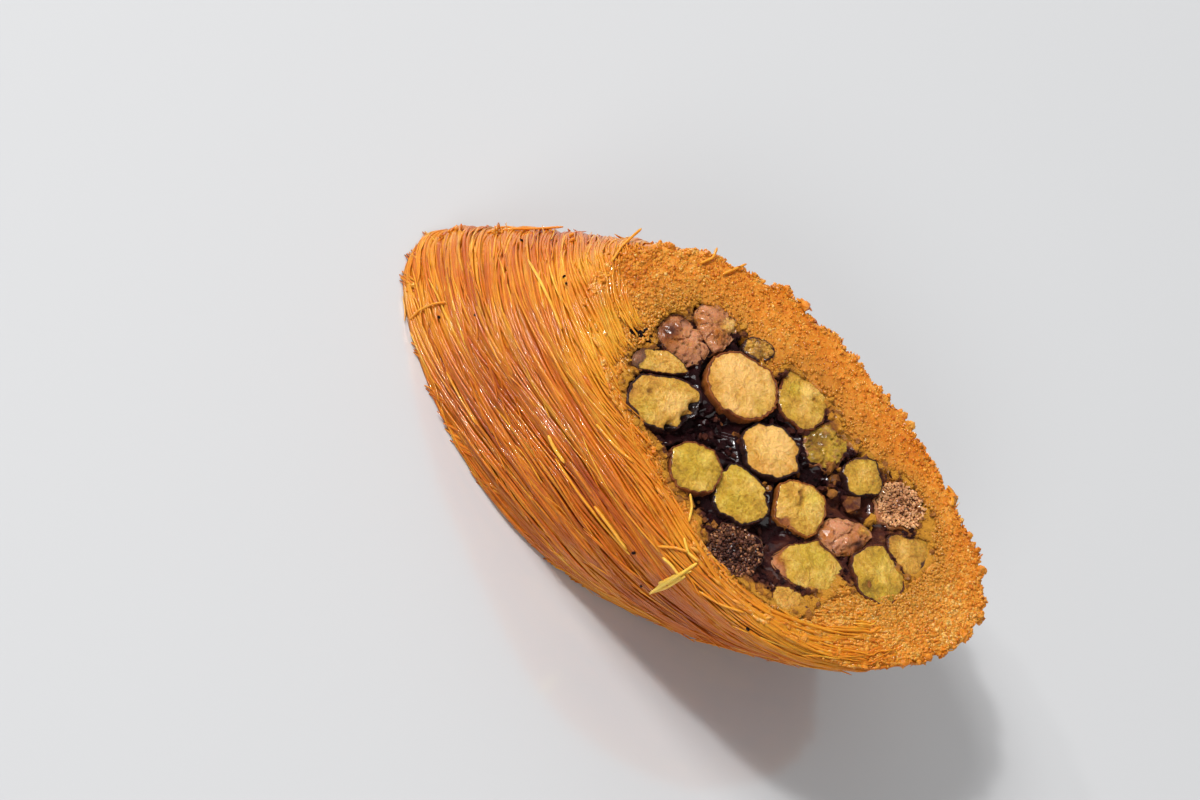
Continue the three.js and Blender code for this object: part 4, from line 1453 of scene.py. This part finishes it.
def nut_ring(nut, share, drop, relief):
    """One ring of a nut: its points and what the spots do to it."""
    x, y = nut["outline"] * share * np.cos(NUT_ANGLES), nut["outline"] * share * np.sin(NUT_ANGLES)
    right = nut["up"] * (x * step_x[0] + y * step_y[0])
    above = -nut["up"] * (x * step_x[1] + y * step_y[1])
    effects = np.zeros((6, NUT_COLUMNS))
    for spot_right, spot_above, size, kind in nut["spots"]:
        near = np.exp(-((right - spot_right) ** 2 + (above - spot_above) ** 2) / size**2)
        effects += np.array(SPOT_EFFECTS[kind])[:, None] * near
    lift = np.array([nut_relief(a + nut["x"], b + nut["y"], nut["look"]) for a, b in zip(x, y)])
    tilt = nut["tilt"][0] * x + nut["tilt"][1] * y
    z = nut["face"] + nut["up"] * (relief * lift + tilt + effects[0] - drop - nut["sunk"])
    z = np.clip(z, NUT_LOWEST, NUT_HIGHEST)
    lean_z = z + nut["up"] * min(drop, STRAIGHT_DOWN)
    points = to_slice(nut["x"] + x, nut["y"] + y, lean_z)
    points[:, 2] = z
    return points, effects


def nut_piece(nut, name, random):
    """Presses a copy of the blank to the outline of one nut, ring by ring."""
    relief, rosy, skin, dome = LOOKS[nut["look"]]
    nut["tilt"] = random.normal(0, NUT_TILT, 2)
    nut["sunk"] = BURIED_SUNK if max(nut["widths"]) < BURIED_WIDTH else NUT_SUNK
    rows, layers = [], {key: [] for key in ("green", "pale", "skin", "deep", "rosy")}

    def keep(share, drop, relief, pale, skin, deep):
        points, effects = nut_ring(nut, share, drop, relief)
        rows.append(points)
        layers["green"].append(nut["green"] + effects[1])
        layers["pale"].append(pale + effects[2])
        layers["skin"].append(np.clip(skin + effects[3], 0, 1))
        layers["deep"].append(deep + effects[5])
        layers["rosy"].append(rosy * (1 - nut["side"]) + effects[4])

    for share in FACE_SHARES:
        edge = smooth_step(EDGE_FROM, 1.0, share)
        hollow = dome < 0
        drop = 0.2 + dome * (share**2 - 1) if hollow else dome * share**3
        # in a hollow nut the colour deepens towards the middle: painted shade
        deep = nut["side"] * 0.6 + 0.3 * (1 - skin) + (0.3 * (1 - share) if hollow else 0)
        covered = skin + (0.5 + 0.25 * nut["side"]) * edge**2 * (1 - skin)
        keep(share, drop, relief, nut["pale"] - 0.2 * edge, covered, deep)
    for share, drop, darker in SIDE_RINGS:
        if drop > nut["depth"] - 0.6:
            break
        drop = drop + max(0.0, dome - 0.25)
        keep(share, drop, SIDE_RELIEF, nut["pale"], 1.0, nut["side"] + darker)
    blank, ring, spoke = BLANKS[len(rows)]
    piece = bpy.data.objects.new(name, blank.data.copy())
    bpy.context.scene.collection.objects.link(piece)
    move_rings(piece, ring, spoke, with_poles(rows))
    if nut["up"] < 0:
        piece.data.flip_normals()  # a nut of the lower cut is upside down
    values = {key: with_poles(layer)[ring, spoke] for key, layer in layers.items()}
    dress(piece, pistachio, "pistachio", **values)
    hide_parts(nut["node"])
    return len(piece.data.polygons)


nut_random = np.random.default_rng(31)
nut_faces = 0
for nuts, place in ((upper_nuts, "upper"), (lower_nuts, "lower")):
    for index, nut in enumerate(nuts):
        nut_faces += nut_piece(nut, f"nut_{place}_{index + 1:02d}", nut_random)
for blank, _, _ in BLANKS.values():
    bpy.data.objects.remove(blank)
print("the nuts have", nut_faces, "faces")

# %% [markdown]
# ## Dark paste
# Syrup, nut skins and fine crumbs bake into a black, glossy, crumpled paste between the nuts. It
# turns brown and crumbly towards the pastry. It starts as a ball with many rings: those of its
# upper part spread over the upper cut, a few go down the hole, and the rest cover the lower cut.

# %% Paste material
PASTE_TONES = (
    (0.0, (0.010, 0.002, 0.003)), (0.35, (0.034, 0.008, 0.009)), (0.55, (0.12, 0.034, 0.020)),
    (0.75, (0.40, 0.150, 0.035)), (0.9, (0.58, 0.23, 0.028)), (1.0, (0.70, 0.31, 0.035)),
)


def paste_material():
    material, nodes, links, shader = new_material("sticky_paste")
    broad = noise_node(nodes, links, 500.0, 5.0, 0.65)
    fine = noise_node(nodes, links, 1500.0, 6.0, 0.8)
    uneven = around_zero(nodes, links, broad, 0.9)
    value = math_node(nodes, links, "ADD", attribute_node(nodes, "tone"), uneven)
    ramp = ramp_node(nodes, PASTE_TONES)
    links.new(value, ramp.inputs["Fac"])
    links.new(ramp.outputs["Color"], shader.inputs["Base Color"])
    add_bump(nodes, links, shader, fine, 1.0, 0.8)
    set_surface(shader, 0.35, 0.16, 0.03, shine=0.08)
    return material


sticky_paste = paste_material()

# %% The level of the paste
PASTE_COLUMNS = 300
PASTE_ROWS = 80
PASTE_SIDE = (0.85, 0.7, 0.5, 0.3, 0.15)  # shares of the thickness
PASTE_INSET = 0.1
PASTE_DEEP, PASTE_AT_PASTRY = 2.1, 0.6  # depths below the cut
DEPTH_AT_NUT = 0.75
CRUMPLE_HEIGHT = 1.1
UNDER_NUT, UNDER_PASTRY = 2.4, 1.7
PASTE_LOWEST = 0.3
PASTE_PITS = (
    # pixel, radius in mm, extra depth in mm
    ((712, 430), 2.9, 0.9), ((637, 336), 2.0, 1.3), ((668, 440), 2.2, 0.8), ((850, 505), 3.0, 0.7),
    ((700, 515), 2.0, 0.8), ((778, 425), 2.0, 0.4), ((885, 510), 1.6, 0.5),
)


def gap_to_nuts(x, y, nuts):
    """How far points are outside the nearest nut, in mm; less than nothing inside one."""
    gap = np.full(np.shape(x), FAR_AWAY)
    for nut in nuts:
        direction = np.degrees(np.arctan2(y - nut["y"], x - nut["x"]))
        outline = np.interp(direction, np.degrees(NUT_ANGLES), nut["outline"], period=360)
        gap = np.minimum(gap, np.hypot(x - nut["x"], y - nut["y"]) - outline)
    return gap


def paste_level(x, y, share, up, nuts):
    """The depth of the paste below the cut, and its tone, `share` of the way to the pastry.

    It climbs up the nuts and the pastry.
    """
    crumple = np.array([
        noise.turbulence(Vector((a * 0.5, b * 0.5, 7.0 * up)), 4, True) for a, b in zip(x, y)
    ])
    drop = mix(PASTE_DEEP, PASTE_AT_PASTRY, smooth_step(0.7, 1.0, share))
    if up > 0:
        for pixel, radius, depth in PASTE_PITS:
            pit = on_plane(pixel, THICKNESS - 2)
            away = np.hypot(x + LEAN / 2 - BOX_CENTRE_X - pit[0], y - pit[1])
            drop = drop + depth * np.exp(-((away / radius) ** 2))
    tone = 0.08 + 0.8 * smooth_step(0.84, 0.98, share) + 0.15 * crumple
    if up > 0:
        tone = tone + 0.38 * smooth_step(4, 12, x)  # redder and clearer towards the right end
    gap = gap_to_nuts(x, y, nuts)
    climb = DEPTH_AT_NUT + 1.1 * np.maximum(gap, 0)
    drop = np.minimum(drop - CRUMPLE_HEIGHT * crumple, climb)
    drop = np.where(gap < -0.4, UNDER_NUT, drop)
    return np.where(share > 1.03, np.maximum(drop, UNDER_PASTRY), drop), tone


def below_cut(x, y, drop, up):
    """Points so far below a cut, towards the inside."""
    z = THICKNESS / 2 + up * (THICKNESS / 2 - drop)
    return to_slice(x, y, np.clip(z, PASTE_LOWEST, THICKNESS))


# %% Paste
def ball(rings, columns):
    """A ball, and the ring and spoke of each of its points, with its two poles as rings."""
    bpy.ops.mesh.primitive_uv_sphere_add(
        segments=columns, ring_count=rings + 1, radius=THICKNESS / 2 * MM, calc_uvs=False,
    )
    piece = bpy.context.object
    points = mesh_points(piece) / (THICKNESS / 2 * MM)
    down = np.arccos(np.clip(points[:, 2], -1, 1)) / math.pi
    return piece, np.round(down * (rings + 1)).astype(int), spoke_of(points, columns)


def paste_piece():
    angle = 2 * math.pi * np.arange(PASTE_COLUMNS) / PASTE_COLUMNS

    def surface(nuts, up):
        made = []
        for share in np.linspace(0.02, 1, PASTE_ROWS):
            x, y = filling_xy(angle, cut_height(up), PASTE_INSET, share)
            drop, tone = paste_level(x, y, share / crust_share(angle, up), up, nuts)
            made.append((below_cut(x, y, drop, up), tone))
        return made

    side = []
    for level in PASTE_SIDE:
        z = np.full(PASTE_COLUMNS, THICKNESS * level)
        x, y = filling_xy(angle, z, PASTE_INSET)
        side.append((to_slice(x, y, z), np.full(PASTE_COLUMNS, 0.3)))
    rings, tones = zip(*(surface(upper_nuts, 1) + side + surface(lower_nuts, -1)[::-1]))
    piece, ring, spoke = ball(len(rings), PASTE_COLUMNS)
    piece.name = "paste"
    move_rings(piece, ring, spoke, with_poles(rings))
    dress(piece, sticky_paste, "paste", tone=with_poles(tones)[ring, spoke])
    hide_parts("filling_paste")
    print("the paste has", len(piece.data.polygons), "faces")


paste_piece()

# %% [markdown]
# Two of the nuts are hollow. What shows in them is the torn inner skin, brown and crumbly, so each
# hollow is filled with a few hundred fine crumbs. Towards the deep middle they get painted shade.

# %% Hollow nuts
NUT_CRUMB_TONES = (
    (0.0, (0.030, 0.008, 0.006)), (0.3, (0.130, 0.045, 0.024)), (0.6, (0.370, 0.155, 0.065)),
    (1.0, (0.720, 0.370, 0.165)),
)
HOLLOW_CRUMBS = 700
HOLLOW_DEPTH = 0.8
# painted shade: crumbs darker towards the deep middle of a hollow
PAINTED_SHADE_INSIDE = 0.35
nut_crumb = strand_material(
    "nut_crumb", NUT_CRUMB_TONES, 0.5, coat=(0.3, 0.1), glow=(0.2, 0.5), bump=(0.5, 0.1)
)


def fill_hollow(nut, tone, spread, batch):
    """Crumbs of the inner skin left in a hollow nut."""
    random = np.random.default_rng(61)
    for _ in range(HOLLOW_CRUMBS):
        angle = random.uniform(0, 2 * math.pi)
        share = 0.9 * math.sqrt(random.random())
        column = int(angle / (2 * math.pi) * NUT_COLUMNS) % NUT_COLUMNS
        reach = share * nut["outline"][column]
        depth = HOLLOW_DEPTH * (1 - share**2) + random.uniform(0.0, 0.3)
        z = nut["face"] - nut["up"] * depth
        place = to_slice(nut["x"] + reach * math.cos(angle), nut["y"] + reach * math.sin(angle), z)
        # painted shade towards the deep middle
        own_tone = tone - PAINTED_SHADE_INSIDE * (1 - share**2) ** 2 + random.normal(0, spread)
        lump(random, place, random.uniform(0.1, 0.22), own_tone, batch, SQUAT)


nut_crumbs = Batch()
for nut in upper_nuts:
    if nut["look"] == "hollow":
        fill_hollow(nut, 1.02 - 0.8 * nut["side"], 0.06 + 0.15 * nut["side"], nut_crumbs)
nut_crumbs.piece("nut_crumbs", nut_crumb, "pistachio", smooth=False)

# %% [markdown]
# Between the nuts lie torn skins and lumps of paste, and round the edge of the filling golden
# crumbs of pastry and nut.

# %% Bits in the filling
def filling_places(random, count, lowest, highest, nuts, up):
    """Random places on the paste between the nuts, and their share of the way to the pastry."""
    angle = random.uniform(0, 2 * math.pi, count)
    share = np.sqrt(random.uniform(lowest**2, highest**2, count))
    size = crust_share(angle, up)
    x, y = filling_xy(angle, cut_height(up), 0.0, share * size)
    kept = gap_to_nuts(x, y, nuts) > 0
    x, y, share = x[kept], y[kept], share[kept]
    drop, _ = paste_level(x, y, share, up, nuts)
    return below_cut(x, y, drop, up), share


SKIN_BITS = (
    # pixel, size in mm, tone
    ((766, 488), 0.9, 0.75), ((830, 478), 0.9, 0.68), ((833, 486), 0.6, 0.62),
    ((801, 435), 0.8, 0.6), ((734, 435), 0.7, 0.62), ((822, 429), 0.8, 0.85),
    ((847, 505), 1.3, 0.66), ((871, 525), 0.8, 1.0), ((903, 605), 0.7, 0.7),
    ((860, 589), 0.7, 0.72), ((699, 522), 0.8, 0.7), ((711, 527), 0.7, 0.78),
    ((806, 533), 0.9, 0.72), ((797, 470), 0.6, 0.6), ((655, 420), 0.7, 0.8), ((672, 500), 0.8, 0.8),
    ((733, 416), 0.6, 0.58), ((722, 424), 0.5, 0.5), ((738, 440), 0.5, 0.56),
    ((703, 436), 0.5, 0.45), ((748, 434), 0.5, 0.62), ((690, 416), 0.4, 0.5),
    ((731, 452), 0.5, 0.5), ((832, 491), 0.7, 0.66), ((846, 494), 0.7, 0.7),
    ((821, 487), 0.6, 0.62), ((836, 474), 0.7, 0.68), ((828, 468), 0.5, 0.62),
)
PAINTED_SHADE_HOLES = (
    # pixel, size in mm: small holes in the pastry, where near-black lumps set just below the cut
    # are painted shade
    ((634, 330), 0.6), ((642, 333), 0.75), ((651, 338), 0.7), ((646, 329), 0.5), ((660, 345), 0.45),
)
LUMPS_EACH = 3  # for each row of SKIN_BITS
SKIN_DEPTH = 1.1
dark_bits = specks  # as dark as the paste, so they go into one piece with its lumps
for nuts, up in ((upper_nuts, 1), (lower_nuts, -1)):
    random = np.random.default_rng(41 + up)
    for place, share in zip(*filling_places(random, 900, 0.0, 0.9, nuts, up)):
        place[2] += random.uniform(-0.2, 0.15)
        tone = random.uniform(0.0, 0.3) + 0.25 * share
        lump(random, place, random.uniform(0.2, 0.55), tone, dark_bits, SQUAT)
    for place, share in zip(*filling_places(random, 3000, 0.8, 1.02, nuts, up)):
        place[2] += random.uniform(-0.3, 0.1)
        tone = mix(0.35, 0.95, smooth_step(0.84, 1.0, share)) + random.normal(0, 0.14)
        lump(random, place, 0.14 + 0.34 * random.random() ** 2, tone, dark_bits, SQUAT)
random = np.random.default_rng(55)
for pixel, size, tone in SKIN_BITS:
    for _ in range(LUMPS_EACH):
        place = on_plane(pixel, THICKNESS - SKIN_DEPTH) + random.normal(0, 0.35, 3)
        own_size = size * random.uniform(0.5, 0.9)
        lump(random, place, own_size, tone + random.normal(0, 0.05), dark_bits, 0.7)
# near-black lumps as painted shade in small holes in the pastry
for pixel, size in PAINTED_SHADE_HOLES:
    place = on_plane(pixel, THICKNESS) - [0, 0, 0.85 * size]
    lump(random, place, size, 0.04, dark_bits, 0.2)
dark_bits.piece("paste_lumps", sticky_paste, "paste", smooth=False)

# %% [markdown]
# ## Floor and light
# A plain pale floor and soft light from a lamp above, as in a small studio.

# %% Floor
def pale_floor():
    bpy.ops.mesh.primitive_plane_add(size=6.0, location=(0, 0, 0))
    floor = bpy.context.object
    floor.name = "floor"
    material, _, _, shader = new_material("pale_floor")
    shader.inputs["Base Color"].default_value = (0.56, 0.565, 0.575, 1)
    shader.inputs["Roughness"].default_value = 0.13
    shader.inputs["IOR"].default_value = 2.6
    floor.data.materials.append(material)


pale_floor()

# %% Lights
def area_light(name, direction, distance, size, power):
    """A round lamp that faces the middle of the cut. Lengths are in metres."""
    data = bpy.data.lights.new(name, "AREA")
    data.shape = "DISK"
    data.size = size
    data.energy = power
    lamp = bpy.data.objects.new(name, data)
    direction = Vector(direction).normalized()
    lamp.location = Vector(cut_middle * MM) + direction * distance
    lamp.rotation_euler = direction.to_track_quat("Z", "Y").to_euler()
    bpy.context.scene.collection.objects.link(lamp)


key_direction = camera_up * 0.8 - camera_right * 0.15 + camera_back * 0.6
area_light("key", key_direction, 1.6, 0.6, 18.0)
area_light("spark", key_direction + camera_back * 0.15, 1.6, 0.12, 8.5)
area_light("glint", key_direction - camera_right * 0.25 - camera_back * 0.1, 1.6, 0.1, 4.0)
area_light("back", camera_up - camera_back * 0.1, 1.6, 1.0, 5.0)
area_light("fill", camera_back * 0.8 - camera_up * 0.3 - camera_right * 0.15, 1.8, 0.8, 9.5)
world = bpy.data.worlds.new("studio")
world.use_nodes = True
world.node_tree.nodes["Background"].inputs["Color"].default_value = (1, 1, 1, 1)
world.node_tree.nodes["Background"].inputs["Strength"].default_value = 0.38
bpy.context.scene.world = world
bpy.context.scene.view_settings.view_transform = "Standard"
